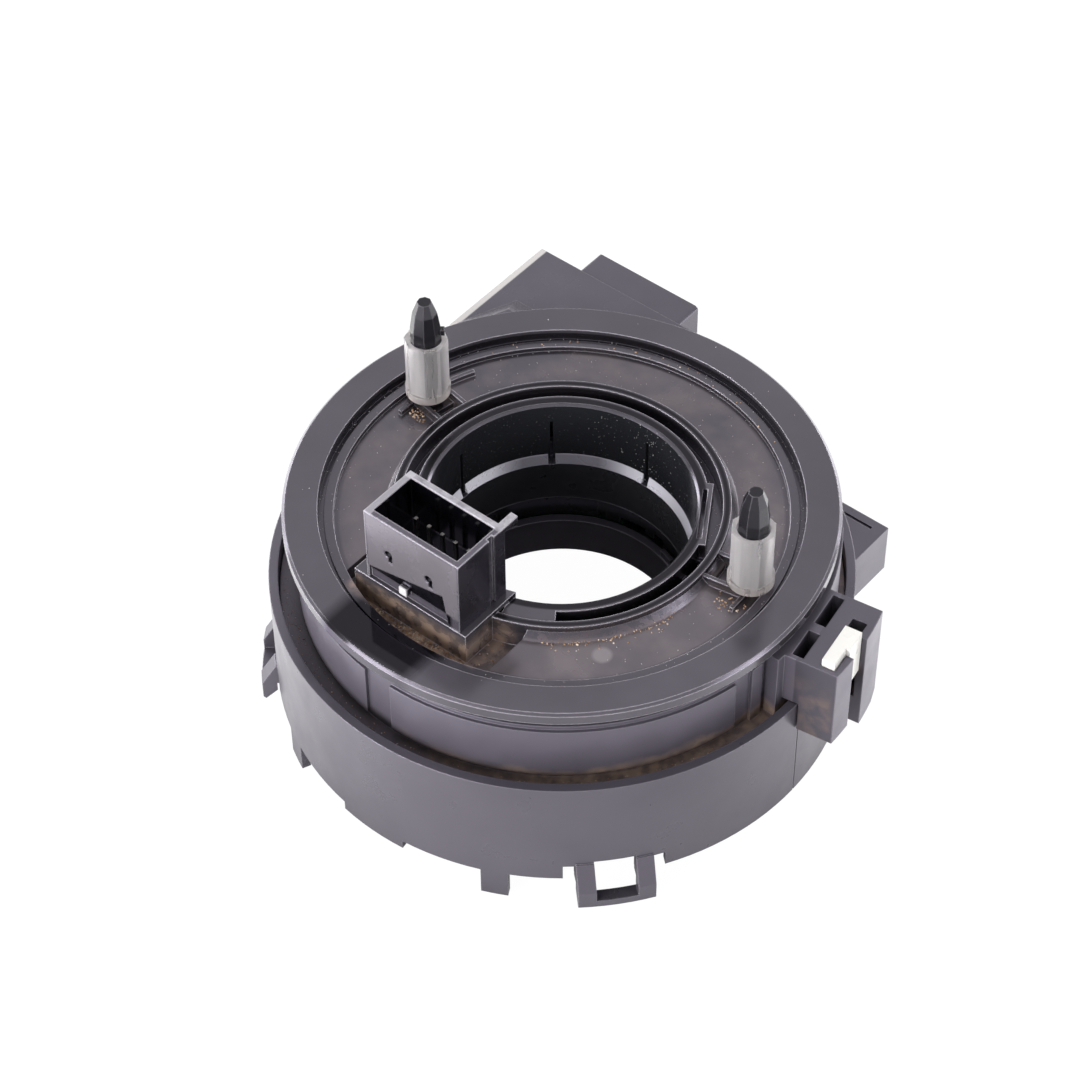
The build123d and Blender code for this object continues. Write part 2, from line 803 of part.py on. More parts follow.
def make_base_cover():
    """Cover under the gears, with the column collar, small hooks and board posts."""
    rim_out = ring_in_r - fit_gap
    rim_in = rim_out - cover_rim_wall
    body = turned([
        (collar_r, 0), (rim_out, 0), (rim_out, cover_rim_height), (rim_in, cover_rim_height),
        (rim_in, cover_thickness), (collar_out_r, cover_thickness),
        (collar_out_r, collar_height), (collar_r, collar_height),
    ])
    hook_r = collar_r + collar_hook_inset
    half = span_at(collar_r, collar_hook_width) / 2
    for angle in collar_hook_angles:
        body += arc_ring(hook_r, hook_r + collar_hook_reach, collar_height,
                         collar_height + collar_hook_height, angle - half, angle + half)
    for post in board_posts(board_post_r, cover_thickness, board_bottom):
        body += post
    for peg in board_posts(board_peg_r, board_bottom, board_top + edge_round):
        body += peg
    return body


# Vehicle-side connector


def back_pins():
    """Square pins of the vehicle-side connector, in two rows."""
    middle_x = sum(hood_x) / 2
    middle_z = sum(hood_z) / 2
    half = pin_side / 2
    near = hood_y[0] - back_header - back_pin_tail
    pins = []
    for column in range(pin_columns):
        x = middle_x + (column - (pin_columns - 1) / 2) * pin_pitch
        for row in (-1, 1):
            z = middle_z + row * pin_row_pitch / 2
            pins.append(block((x - half, x + half), (near, near + back_pin_length), (z - half, z + half)))
    return pins


def cable_duct():
    """Bevelled cover over the ribbon's way from the drum into the connector box."""
    foot_in, foot_x, foot_y = duct_foot
    crown_x, crown_y = duct_crown
    lean = (foot_x - foot_in, foot_y)
    corner = (box_x[0] + crown_x, box_y[0] + crown_y)
    foot = Polyline((box_x[0] + foot_in, box_y[0]), (box_x[0] + foot_x, box_y[0] + foot_y),
                    (box_x[1], box_y[0] + foot_y), (box_x[1], box_y[0]), close=True)
    crown = Polyline((corner[0] - lean[0], corner[1] - lean[1]), corner,
                     (box_x[1], corner[1]), (box_x[1], corner[1] - lean[1]), close=True)
    duct = loft([Pos(0, 0, box_z[1]) * make_face(foot), Pos(0, 0, shoulder_top) * make_face(crown)],
                ruled=True)
    return duct & block(box_x, box_y, (box_z[1], shoulder_top))


def make_vehicle_connector():
    """Connector box behind the housing, with an open hood that faces away from it."""
    hood = fillet(block(hood_x, hood_y, hood_z).edges().filter_by(Axis.Y), hood_round)
    body = block(box_x, box_y, box_z)
    body -= block((box_x[0] + box_wall, box_x[1] - box_wall), (box_y[0] + box_wall, hood_y[0] - back_header),
                  (box_z[0], box_z[1] - box_wall))
    body += hood
    body -= block((hood_x[0] + hood_wall, hood_x[1] - hood_wall), hood_y,
                  (hood_z[0] + hood_wall, hood_z[1] - hood_wall))
    body += cable_duct()
    body -= drum(ring_r + fit_gap, ring_bottom, ring_top + fit_gap)
    body -= drum(shoulder_r + fit_gap, ring_bottom, shoulder_top)
    for pin in back_pins():
        body -= pin
    return body


# Ribbon cable


def make_ribbon():
    """Flat cable wound as half circles about two centres, so that it grows evenly."""
    shift = ribbon_pitch / 4
    edges = []
    ends = []
    for thickness in (0, ribbon_thickness):
        arcs = []
        for half_turn in range(2 * ribbon_turns):
            side = 1 if half_turn % 2 else -1
            r = ribbon_in_r + half_turn * ribbon_pitch / 2 + thickness
            arcs.append(CenterArc((side * shift, 0), r, 180 * (half_turn % 2), 180))
        edges += arcs
        ends.append((arcs[0] @ 0, arcs[-1] @ 1))
    edges += [Line(ends[0][0], ends[1][0]), Line(ends[0][1], ends[1][1])]
    return extrude(Pos(0, 0, ribbon_bottom) * make_face(edges), ribbon_height, dir=(0, 0, 1))


def make_inner_cable_end():
    """Clip on the rotor that the inner end of the ribbon is pressed into."""
    r_out = ribbon_in_r - ribbon_pitch / 4 - seat_clearance
    return arc_ring(ring_wall_out_r + seat_clearance, r_out, ribbon_bottom, ribbon_bottom + ribbon_height,
                    -cable_end_span, cable_end_span)


def make_outer_cable_end():
    """Clip on the drum wall that the outer end of the ribbon is pressed into."""
    ribbon_end = ribbon_in_r + ribbon_turns * ribbon_pitch - ribbon_pitch / 4 + ribbon_thickness
    return arc_ring(ribbon_end + fit_gap, drum_in_r - seat_clearance, ribbon_bottom,
                    ribbon_bottom + ribbon_height, -cable_end_span, cable_end_span)


def make_glide_ring():
    """Thin slippery film on the floor, which the ribbon slides on."""
    return ring(ring_wall_out_r + glide_margin, drum_in_r - glide_margin, housing_floor,
                housing_floor + glide_thickness)


# Steering angle sensor


def tooth_flank(teeth, r):
    """Half angle of a tooth at a radius, in radians, for an involute gear."""
    pitch_r = gear_module * teeth / 2
    base_r = pitch_r * math.cos(math.radians(pressure_angle))
    start = math.radians(pressure_angle)
    at_r = math.acos(min(1.0, base_r / r))
    half = (math.pi * gear_module / 2 - backlash / 2) / (2 * pitch_r)
    return half + (math.tan(start) - start) - (math.tan(at_r) - at_r)


def gear_blank(teeth, first_tooth):
    """Toothed disc about the axis, with the middle of one tooth at an angle."""
    pitch_r = gear_module * teeth / 2
    base_r = pitch_r * math.cos(math.radians(pressure_angle))
    root_r = pitch_r - 1.25 * gear_module
    tip_r = pitch_r + gear_module
    low_r = max(base_r, root_r)
    flank = [low_r + (tip_r - low_r) * step / 2 for step in range(3)]
    if root_r < base_r:
        flank.insert(0, root_r)
    points = []
    for tooth in range(teeth):
        middle = math.radians(first_tooth) + 2 * math.pi * tooth / teeth
        sides = [(r, middle - tooth_flank(teeth, max(r, base_r))) for r in flank]
        sides += [(r, middle + tooth_flank(teeth, max(r, base_r))) for r in reversed(flank)]
        points += [(r * math.cos(a), r * math.sin(a)) for r, a in sides]
    face = make_face(Polyline(*points, close=True))
    return extrude(Pos(0, 0, gear_bottom) * face, gear_face, dir=(0, 0, 1))


def make_drive_gear():
    """Gear ring on the hub sleeve, held up against its journal, with notches in its lower edge."""
    blank = gear_blank(drive_teeth, 0) + drum(thrust_r, gear_top, journal_bottom)
    bore_r = gear_seat_r + seat_clearance
    body = blank - drum(bore_r, gear_bottom, journal_bottom)
    for span in gear_notch_spans:
        body -= arc_ring(bore_r - edge_round, bore_r + gear_notch_depth, gear_bottom,
                         gear_bottom + gear_notch_height, *span)
    return body


def make_measuring_gear(name):
    """Small gear on its own axle, with a pocket for the magnet below."""
    distance, angle = measuring_centre(name)
    teeth = measuring_teeth[name]
    hub_low = gear_bottom - gear_hub_height
    body = gear_blank(teeth, 180 + 180 / teeth) + drum(gear_hub_r, hub_low, gear_bottom)
    body -= drum(magnet_r + seat_clearance, hub_low, magnet_top)
    body -= drum(axle_r + seat_clearance, magnet_top + gear_floor, gear_top)
    return at_angle(Pos(distance, 0, 0) * body, angle)


def make_magnet(name):
    """Round magnet under a measuring gear."""
    distance, angle = measuring_centre(name)
    return at_angle(Pos(distance, 0, 0) * drum(magnet_r, magnet_bottom, magnet_top), angle)


def make_sensor_board():
    """Curved circuit board under the measuring gears."""
    board = arc_ring(board_in_r, board_out_r, board_bottom, board_top, *board_span)
    for hole in board_posts(board_peg_r + seat_clearance, board_bottom, board_top):
        board -= hole
    return board


def make_sensor_chips():
    """Magnetic sensors below the magnets, and the controller between them."""
    places = [(*measuring_centre(name), chip_side) for name in measuring_teeth]
    places.append((sum(board_post_radii) / 2, controller_angle, controller_side))
    return [
        at_angle(Pos(distance, 0, board_top + chip_height / 2) * Box(side, side, chip_height), angle)
        for distance, angle, side in places
    ]


parts = {
    "rotor_flange": make_rotor_flange(),
    "hub_sleeve": make_hub_sleeve(),
    "wheel_connector": make_wheel_connector(),
    "wheel_connector_pins": Compound(children=make_wheel_pins()),
    "inner_cable_end": make_inner_cable_end(),
    "drive_gear": make_drive_gear(),
    "cable_housing": make_cable_housing(),
    "flat_cable": make_ribbon(),
    "outer_cable_end": make_outer_cable_end(),
    "glide_ring": make_glide_ring(),
    "lock_slider": make_lock_slider(),
    "sensor_housing": make_sensor_housing(),
    "base_cover": make_base_cover(),
    "vehicle_connector": make_vehicle_connector(),
    "vehicle_connector_pins": Compound(children=back_pins()),
    "sensor_board": make_sensor_board(),
    "sensor_chips": Compound(children=make_sensor_chips()),
}
for side in post_angles:
    parts["driver_post_" + side] = make_driver_post(side)
    parts["post_bush_" + side] = make_bush(side)
for gear in measuring_teeth:
    parts["measuring_gear_" + gear] = make_measuring_gear(gear)
    parts["magnet_" + gear] = make_magnet(gear)

os.makedirs("parts", exist_ok=True)
for node, shape in parts.items():
    export_step(shape, "parts/" + node + ".step")
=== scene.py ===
import math

import bpy
from mathutils import Matrix, Vector


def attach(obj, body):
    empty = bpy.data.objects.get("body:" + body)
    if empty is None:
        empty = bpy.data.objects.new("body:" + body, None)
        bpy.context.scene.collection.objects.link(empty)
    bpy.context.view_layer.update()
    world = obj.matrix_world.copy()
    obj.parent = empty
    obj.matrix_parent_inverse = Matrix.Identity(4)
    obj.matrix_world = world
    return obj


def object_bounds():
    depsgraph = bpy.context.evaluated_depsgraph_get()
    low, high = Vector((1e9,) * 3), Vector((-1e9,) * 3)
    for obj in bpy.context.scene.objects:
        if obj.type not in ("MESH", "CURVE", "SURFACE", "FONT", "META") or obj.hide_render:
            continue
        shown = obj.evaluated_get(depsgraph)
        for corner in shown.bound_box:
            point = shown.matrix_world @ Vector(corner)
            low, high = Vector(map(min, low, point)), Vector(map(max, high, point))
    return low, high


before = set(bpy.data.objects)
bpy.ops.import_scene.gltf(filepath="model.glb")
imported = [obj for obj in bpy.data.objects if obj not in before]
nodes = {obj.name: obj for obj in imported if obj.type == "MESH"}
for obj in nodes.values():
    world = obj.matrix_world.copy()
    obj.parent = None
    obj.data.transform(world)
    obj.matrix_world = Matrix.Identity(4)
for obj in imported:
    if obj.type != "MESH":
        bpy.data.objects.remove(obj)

cad_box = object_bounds()
mm = 0.001


# Base cover: the lid on the column side, with the collar that fits the column.
# Black glass-filled polyester, moulded in one shot and snapped into the sensor housing.
def open_tree(material):
    """Clears a material's nodes and puts one surface shader on its output."""
    material.use_nodes = True
    tree = material.node_tree
    tree.nodes.clear()
    out = tree.nodes.new("ShaderNodeOutputMaterial")
    surface = tree.nodes.new("ShaderNodeBsdfPrincipled")
    tree.links.new(surface.outputs["BSDF"], out.inputs["Surface"])
    return tree, surface


def grain(tree, scale, detail=4.0, stretch=(1.0, 1.0, 1.0)):
    """Noise on the piece's own coordinates, for flow marks, mould texture or wear."""
    place = tree.nodes.new("ShaderNodeTexCoord")
    turn = tree.nodes.new("ShaderNodeMapping")
    turn.inputs["Scale"].default_value = stretch
    noise = tree.nodes.new("ShaderNodeTexNoise")
    noise.inputs["Scale"].default_value = scale
    noise.inputs["Detail"].default_value = detail
    tree.links.new(place.outputs["Object"], turn.inputs["Vector"])
    tree.links.new(turn.outputs["Vector"], noise.inputs["Vector"])
    return noise.outputs["Fac"]


def shades(tree, source, stops):
    """Colours along a value, through stops of (position, colour)."""
    node = tree.nodes.new("ShaderNodeValToRGB")
    while len(node.color_ramp.elements) < len(stops):
        node.color_ramp.elements.new(0.5)
    for element, (position, colour) in zip(node.color_ramp.elements, stops):
        element.position = position
        element.color = (*colour, 1.0)
    tree.links.new(source, node.inputs["Fac"])
    return node.outputs["Color"]


def spread(tree, source, low, high, source_low=0.3, source_high=0.7):
    """Maps a value from its own span onto the span from low to high."""
    node = tree.nodes.new("ShaderNodeMapRange")
    node.inputs["From Min"].default_value = source_low
    node.inputs["From Max"].default_value = source_high
    node.inputs["To Min"].default_value = low
    node.inputs["To Max"].default_value = high
    tree.links.new(source, node.inputs["Value"])
    return node.outputs["Result"]


def relief(tree, surface, height, depth, edge_radius):
    """Rounds the edges a little, raises the skin by a value and gives back where the edges are."""
    at_edge, on_face = 0.78, 0.985
    edge = tree.nodes.new("ShaderNodeBevel")
    edge.samples = 4
    edge.inputs["Radius"].default_value = edge_radius
    raised = tree.nodes.new("ShaderNodeBump")
    raised.inputs["Strength"].default_value = 1.0
    raised.inputs["Distance"].default_value = depth
    tree.links.new(height, raised.inputs["Height"])
    tree.links.new(edge.outputs["Normal"], raised.inputs["Normal"])
    tree.links.new(raised.outputs["Normal"], surface.inputs["Normal"])
    flat = tree.nodes.new("ShaderNodeNewGeometry")
    turned_by = tree.nodes.new("ShaderNodeVectorMath")
    turned_by.operation = "DOT_PRODUCT"
    tree.links.new(edge.outputs["Normal"], turned_by.inputs[0])
    tree.links.new(flat.outputs["Normal"], turned_by.inputs[1])
    return spread(tree, turned_by.outputs["Value"], 1.0, 0.0, at_edge, on_face)


def tinted(tree, surface, mask, colour):
    """Lays a colour over the one that the surface has, where the mask is."""
    before = surface.inputs["Base Color"].links[0].from_socket
    mix = tree.nodes.new("ShaderNodeMix")
    mix.data_type = "RGBA"
    mix.inputs[7].default_value = (*colour, 1.0)
    tree.links.new(mask, mix.inputs[0])
    tree.links.new(before, mix.inputs[6])
    tree.links.new(mix.outputs[2], surface.inputs["Base Color"])


def black_moulding(name, deep, pale, gloss, edge_radius=0.3 * mm, edge_highlight=(0.20, 0.185, 0.21)):
    """Black moulded plastic with faint flow clouds, uneven gloss and soft edges that carry a pale painted
    highlight.

    Its IOR and sheen are fitted to the photograph: such plastic's real index is about 1.55.
    """
    flow_scale, polish_scale, skin_scale = 45.0, 160.0, 700.0
    skin_depth = 0.0012 * mm
    fitted_ior = 1.78
    fitted_sheen = (0.88, 0.81, 1.0, 1.0)
    material = bpy.data.materials.new(name)
    tree, surface = open_tree(material)
    flow = grain(tree, flow_scale)
    tree.links.new(shades(tree, flow, [(0.35, deep), (0.65, pale)]), surface.inputs["Base Color"])
    tree.links.new(spread(tree, grain(tree, polish_scale, 6.0), *gloss), surface.inputs["Roughness"])
    edges = relief(tree, surface, grain(tree, skin_scale, 3.0), skin_depth, edge_radius)
    # The pale colour along the edges is a painted highlight.
    tinted(tree, surface, edges, edge_highlight)
    surface.inputs["IOR"].default_value = fitted_ior
    surface.inputs["Specular Tint"].default_value = fitted_sheen
    return material, tree, surface


def dress(material, *names):
    """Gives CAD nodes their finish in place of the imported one."""
    for name in names:
        skin = nodes[name].data
        skin.materials.clear()
        skin.materials.append(material)


polyester_deep, polyester_pale = (0.044, 0.040, 0.049), (0.056, 0.051, 0.062)
satin = (0.26, 0.38)
housing_black, _, _ = black_moulding("housing black polyester", polyester_deep, polyester_pale, satin)
dress(housing_black, "base_cover")


# Sensor housing: the outer ring with its snap loops, lugs and corner box.
# The same black polyester, moulded in one shot; brown dust lies in the gutter round the drum.
def math_node(tree, kind, a, b=0.0):
    """A value worked out from two others, each a socket or a plain number."""
    node = tree.nodes.new("ShaderNodeMath")
    node.operation = kind
    for socket, value in zip(node.inputs, (a, b)):
        if isinstance(value, (int, float)):
            socket.default_value = value
        else:
            tree.links.new(value, socket)
    return node.outputs["Value"]


def product(tree, *values):
    """All the values multiplied together."""
    result = values[0]
    for value in values[1:]:
        result = math_node(tree, "MULTIPLY", result, value)
    return result


def strongest(tree, *masks):
    """The largest of several masks at each place."""
    result = masks[0]
    for mask in masks[1:]:
        result = math_node(tree, "MAXIMUM", result, mask)
    return result


def window(tree, source, low, high, soft):
    """1 where a value lies between two limits, fading to 0 outside them."""
    rise = spread(tree, source, 0.0, 1.0, low - soft, low + soft)
    fall = spread(tree, source, 1.0, 0.0, high - soft, high + soft)
    return math_node(tree, "MULTIPLY", rise, fall)


def measured(tree):
    """The place on the piece: its radius from the axis, and x, y and height."""
    place = tree.nodes.new("ShaderNodeTexCoord")
    split = tree.nodes.new("ShaderNodeSeparateXYZ")
    tree.links.new(place.outputs["Object"], split.inputs["Vector"])
    x, y, z = (split.outputs[axis] for axis in "XYZ")
    across = math_node(tree, "ADD", product(tree, x, x), product(tree, y, y))
    return math_node(tree, "SQRT", across), x, y, z


front_turn = math.radians(40.0)


def sideways(tree, x, y):
    """How far a place lies to the right of the axis, seen from the part's front."""
    return math_node(tree, "ADD", product(tree, x, math.cos(front_turn)),
                     product(tree, y, math.sin(front_turn)))


gutter_floor = 18.0 * mm
gutter_in, gutter_out = 47.2 * mm, 51.6 * mm
gutter_brown = (0.23, 0.165, 0.125)
gutter_shade = (0.008, 0.007, 0.007)


def dusty_gutter(tree, surface):
    """Shade on the gutter's floor, and brown dust low in it that thins upwards and to the left."""
    radius, x, y, z = measured(tree)
    dust_height, ragged_by = 2.4 * mm, 1.3 * mm
    clean_left, dusty_right = -30.0 * mm, -2.0 * mm
    ragged = math_node(tree, "ADD", z, spread(tree, grain(tree, 260.0, 6.0), -ragged_by, ragged_by))
    low = window(tree, ragged, gutter_floor - 4.0 * mm, gutter_floor + dust_height, 0.9 * mm)
    patches = spread(tree, grain(tree, 520.0, 5.0), 0.35, 1.0, 0.35, 0.62)
    in_gutter = window(tree, radius, gutter_in, gutter_out, 0.2 * mm)
    above = window(tree, z, gutter_floor - 0.3 * mm, gutter_floor + 6.0 * mm, 0.1 * mm)
    to_the_right = spread(tree, sideways(tree, x, y), 0.10, 1.0, clean_left, dusty_right)
    at_floor = window(tree, z, gutter_floor - 0.3 * mm, gutter_floor + 1.6 * mm, 0.5 * mm)
    tinted(tree, surface, product(tree, in_gutter, at_floor, 0.9), gutter_shade)
    tinted(tree, surface, product(tree, low, patches, in_gutter, to_the_right, above), gutter_brown)


ring_black, tree, surface = black_moulding("ring black polyester", polyester_deep, polyester_pale, satin)
dusty_gutter(tree, surface)
dress(ring_black, "sensor_housing")


# Sensor board: glass-fibre sheet under green lacquer, on two pegs of the sensor housing.
# The magnetic sensors and the controller are black resin, soldered flat on it.
lacquer_over_bare, lacquer_over_track = (0.012, 0.10, 0.035), (0.020, 0.16, 0.06)
track_height, board_edge = 0.02 * mm, 0.1 * mm
board_lacquer = bpy.data.materials.new("board lacquer")
tree, surface = open_tree(board_lacquer)
tracks = grain(tree, 420.0, 1.0, (1.0, 0.15, 1.0))
tree.links.new(shades(tree, tracks, [(0.45, lacquer_over_bare), (0.52, lacquer_over_track)]),
               surface.inputs["Base Color"])
tree.links.new(spread(tree, grain(tree, 200.0), 0.20, 0.34), surface.inputs["Roughness"])
relief(tree, surface, tracks, track_height, board_edge)
dress(board_lacquer, "sensor_board")

chip_resin, _, _ = black_moulding("chip resin", (0.018, 0.018, 0.019), (0.034, 0.034, 0.036), (0.45, 0.62))
dress(chip_resin, "sensor_chips")


# Measuring gears: white acetal, turned by the drive gear on axles of the sensor housing.
# Each carries a pressed ferrite magnet over its sensor.
def pale_moulding(name, deep, pale, gloss):
    """Pale moulded plastic with a faint cloudy grain."""
    cloud_scale, polish_scale, skin_scale = 70.0, 240.0, 900.0
    skin_depth, edge_radius = 0.006 * mm, 0.2 * mm
    material = bpy.data.materials.new(name)
    tree, surface = open_tree(material)
    clouds = grain(tree, cloud_scale)
    tree.links.new(shades(tree, clouds, [(0.35, deep), (0.65, pale)]), surface.inputs["Base Color"])
    tree.links.new(spread(tree, grain(tree, polish_scale, 6.0), *gloss), surface.inputs["Roughness"])
    relief(tree, surface, grain(tree, skin_scale, 3.0), skin_depth, edge_radius)
    return material


white_acetal = pale_moulding("white acetal", (0.78, 0.77, 0.74), (0.86, 0.84, 0.81), (0.24, 0.40))
dress(white_acetal, "measuring_gear_a", "measuring_gear_b")

ferrite, _, _ = black_moulding("pressed ferrite", (0.040, 0.040, 0.043), (0.075, 0.074, 0.078), (0.50, 0.70))
dress(ferrite, "magnet_a", "magnet_b")


# Vehicle-side connector: a box of black polyester with a hood for the harness plug.
# It is snapped to the housings; its left top edge and its hood's right end carry painted highlights. Its pins
# are tinned brass blades.
box_left, box_top = -52.5 * mm, 27.0 * mm
highlight_width, highlight_height = 1.2 * mm, 1.6 * mm
highlight_pale = (0.62, 0.60, 0.58)
hood_right, hood_back = -14.0 * mm, 64.4 * mm
hood_end_width, hood_depth = 2.2 * mm, 5.9 * mm
box_black, tree, surface = black_moulding("box black polyester", polyester_deep, polyester_pale, (0.20, 0.30))
radius, x, y, z = measured(tree)
# Painted highlight along the box's left top edge.
left_edge_highlight = product(tree, window(tree, x, box_left - 1.0 * mm, box_left + highlight_width, 0.15 * mm),
                    window(tree, z, box_top - highlight_height, box_top + 1.0 * mm, 0.3 * mm))
tinted(tree, surface, product(tree, left_edge_highlight, 0.9), highlight_pale)
# Painted highlight on the hood's right end.
hood_end_highlight = product(tree, window(tree, x, hood_right - hood_end_width, hood_right + 2.0 * mm, 0.4 * mm),
                   window(tree, y, hood_back - hood_depth, hood_back + 1.6 * mm, 0.3 * mm))
tinted(tree, surface, hood_end_highlight, (0.20, 0.19, 0.21))
dress(box_black, "vehicle_connector")

tin_dull, tin_bright = (0.46, 0.44, 0.41), (0.62, 0.60, 0.56)
tinned = bpy.data.materials.new("tinned brass")
tree, surface = open_tree(tinned)
tree.links.new(shades(tree, grain(tree, 900.0), [(0.3, tin_dull), (0.7, tin_bright)]),
               surface.inputs["Base Color"])
tree.links.new(spread(tree, grain(tree, 1500.0), 0.24, 0.42), surface.inputs["Roughness"])
relief(tree, surface, grain(tree, 2600.0), 0.003 * mm, 0.05 * mm)
surface.inputs["Metallic"].default_value = 1.0
dress(tinned, "vehicle_connector_pins")


# Cable housing: the drum that holds the wound ribbon, with the block for the lock.
# Black polyester a shade greyer than the ring; it sits on the web of the sensor housing.
block_in, block_out = 52.5 * mm, 60.2 * mm
stain_bottom, stain_top = 10.0 * mm, 27.0 * mm
drum_black, tree, surface = black_moulding("drum black polyester", (0.062, 0.056, 0.071),
                                           (0.074, 0.067, 0.084), (0.36, 0.48))
dusty_gutter(tree, surface)
radius, x, y, z = measured(tree)
# Painted shade on the lock block.
shaded_block = window(tree, radius, block_in, block_out, 0.1 * mm)
tinted(tree, surface, product(tree, shaded_block, 0.75), (0.020, 0.018, 0.022))
block_foot = product(tree, window(tree, radius, block_in - 0.5 * mm, block_out - 0.4 * mm, 0.5 * mm),
                     window(tree, z, stain_bottom, stain_top, 3.0 * mm), 0.6)
blotches = spread(tree, grain(tree, 260.0, 7.0), 0.0, 1.0, 0.42, 0.62)
tinted(tree, surface, product(tree, block_foot, blotches), (0.12, 0.080, 0.060))
dress(drum_black, "cable_housing")


# Glide ring and ribbon: clear slip film under a flat cable of copper lanes.
# The lanes run along the ribbon, so they are bands of height on it.
slip_film = pale_moulding("slip film", (0.60, 0.60, 0.58), (0.72, 0.72, 0.70), (0.18, 0.30))
dress(slip_film, "glide_ring")

lane_pitch = 2.0 * mm
copper, film_over_gap = (0.45, 0.20, 0.08), (0.62, 0.60, 0.56)
ribbon = bpy.data.materials.new("ribbon of copper lanes")
tree, surface = open_tree(ribbon)
radius, x, y, z = measured(tree)
from_lane = math_node(tree, "PINGPONG", z, lane_pitch / 2.0)
lanes = spread(tree, from_lane, 0.0, 1.0, 0.22 * lane_pitch, 0.26 * lane_pitch)
tree.links.new(shades(tree, lanes, [(0.2, copper), (0.8, film_over_gap)]), surface.inputs["Base Color"])
tree.links.new(spread(tree, grain(tree, 300.0), 0.15, 0.28), surface.inputs["Roughness"])
dress(ribbon, "flat_cable")


# Cable ends: black carriers that clip the ribbon's ends to the drum and to the rotor.
# Moulded round the ribbon's ends after welding.
dress(drum_black, "outer_cable_end")
rotor_black, rotor_tree, rotor_surface = black_moulding("rotor black nylon", (0.036, 0.033, 0.038),
                                                        (0.048, 0.044, 0.051), (0.13, 0.22),
                                                        edge_highlight=(0.68, 0.64, 0.70))
dress(rotor_black, "inner_cable_end")


# Hub sleeve and drive gear: the lower half of the hub tube, keyed to the rotor disc.
# The sleeve is black nylon. The shine of its lead-in and lip is painted on: a pale colour, a
# metallic share and a tilted shading normal, all fitted to the photograph.
hub_bottom, sleeve_bottom = 22.5 * mm, 13.5 * mm
sleeve_in, sleeve_lead_in = 23.4 * mm, 24.2 * mm
lead_in_height, lip_height = 2.1 * mm, 0.25 * mm
lead_in_tilt = math.radians(49.0)
dull_aside, shiny_aside = 7.0 * mm, 17.0 * mm
sleeve_black, tree, surface = black_moulding("sleeve black nylon", (0.030, 0.031, 0.036),
                                             (0.042, 0.042, 0.048), (0.24, 0.36))
radius, x, y, z = measured(tree)
lead_in = product(tree, window(tree, radius, sleeve_in - 0.2 * mm, sleeve_lead_in + 0.4 * mm, 0.05 * mm),
                  window(tree, z, hub_bottom + 0.05 * mm, hub_bottom + lead_in_height, 0.04 * mm))
lip = product(tree, window(tree, z, sleeve_bottom - 0.2 * mm, sleeve_bottom + lip_height, 0.08 * mm), 0.6)
lead_in = strongest(tree, lead_in, lip)
# The painted highlight on the lead-in grows towards its flanks, seen from the front.
lead_in_shine = spread(tree, math_node(tree, "ABSOLUTE", sideways(tree, x, y)), 0.0, 0.75, dull_aside, shiny_aside)
tinted(tree, surface, product(tree, lead_in, spread(tree, lead_in_shine, 0.12, 1.0, 0.0, 0.4)), (0.50, 0.49, 0.54))
tree.links.new(strongest(tree, product(tree, lead_in, lead_in_shine), product(tree, lip, 0.9)),
               surface.inputs["Metallic"])
chamfer = tree.nodes.new("ShaderNodeCombineXYZ")
inward = -math.cos(lead_in_tilt)
for axis, place in (("X", x), ("Y", y)):
    tree.links.new(product(tree, math_node(tree, "DIVIDE", place, radius), inward), chamfer.inputs[axis])
chamfer.inputs["Z"].default_value = math.sin(lead_in_tilt)
skin_normal = surface.inputs["Normal"].links[0].from_socket
turned = tree.nodes.new("ShaderNodeMix")
turned.data_type = "VECTOR"
tree.links.new(lead_in, turned.inputs[0])
tree.links.new(skin_normal, turned.inputs[4])
tree.links.new(chamfer.outputs["Vector"], turned.inputs[5])
tree.links.new(turned.outputs[1], surface.inputs["Normal"])
dress(sleeve_black, "hub_sleeve", "drive_gear")


# Rotor disc: the wide plate under the steering wheel, in glossy black nylon.
# It is moulded in one shot; brown dust has settled in its sunk floor and grooves. The grooves and the hub
# tube's inside are darkened with painted shade, and the floor is lighter towards the front with painted
# light.
hub_in, hub_out = 24.2 * mm, 26.4 * mm
ring_wall_in, floor_in, floor_out = 28.8 * mm, 30.3 * mm, 40.8 * mm
drain_in, drain_out = 42.5 * mm, 43.6 * mm
recess_floor, floor_top, drain_top, ledge_top = 31.8 * mm, 35.1 * mm, 35.5 * mm, 36.1 * mm
rim_top, flange_top = 37.4 * mm, 37.8 * mm
pedestal_front = -36.2 * mm
pedestal_left, pedestal_right = -17.1 * mm, 8.3 * mm
lit_from, lit_full = -22.0 * mm, 4.0 * mm
stained_left, stained_right, stained_front, stained_back = 15.0 * mm, 33.0 * mm, -28.0 * mm, -4.0 * mm
speckled_from, speckled_full = 2.0 * mm, 14.0 * mm
mirror_left, mirror_right, mirror_front, mirror_back = -14.0 * mm, 6.0 * mm, -49.6 * mm, -38.6 * mm
dust_brown, stain_brown, heap_brown = (0.200, 0.162, 0.145), (0.070, 0.047, 0.036), (0.56, 0.39, 0.285)
floor_painted_light, tube_painted_shade, pale_speck = (0.080, 0.069, 0.074), (0.019, 0.020, 0.024), (0.62, 0.60, 0.60)
groove_painted_shade, mirror_black, rim_black = (0.005, 0.004, 0.005), (0.012, 0.011, 0.013), (0.016, 0.015, 0.017)
tree, surface = rotor_tree, rotor_surface
radius, x, y, z = measured(tree)
clouds = spread(tree, grain(tree, 130.0, 8.0), 0.0, 1.0, 0.38, 0.68)
flecks = spread(tree, grain(tree, 900.0, 4.0), 0.0, 1.0, 0.45, 0.62)
clumps = spread(tree, grain(tree, 420.0, 6.0), 0.25, 1.0, 0.4, 0.6)

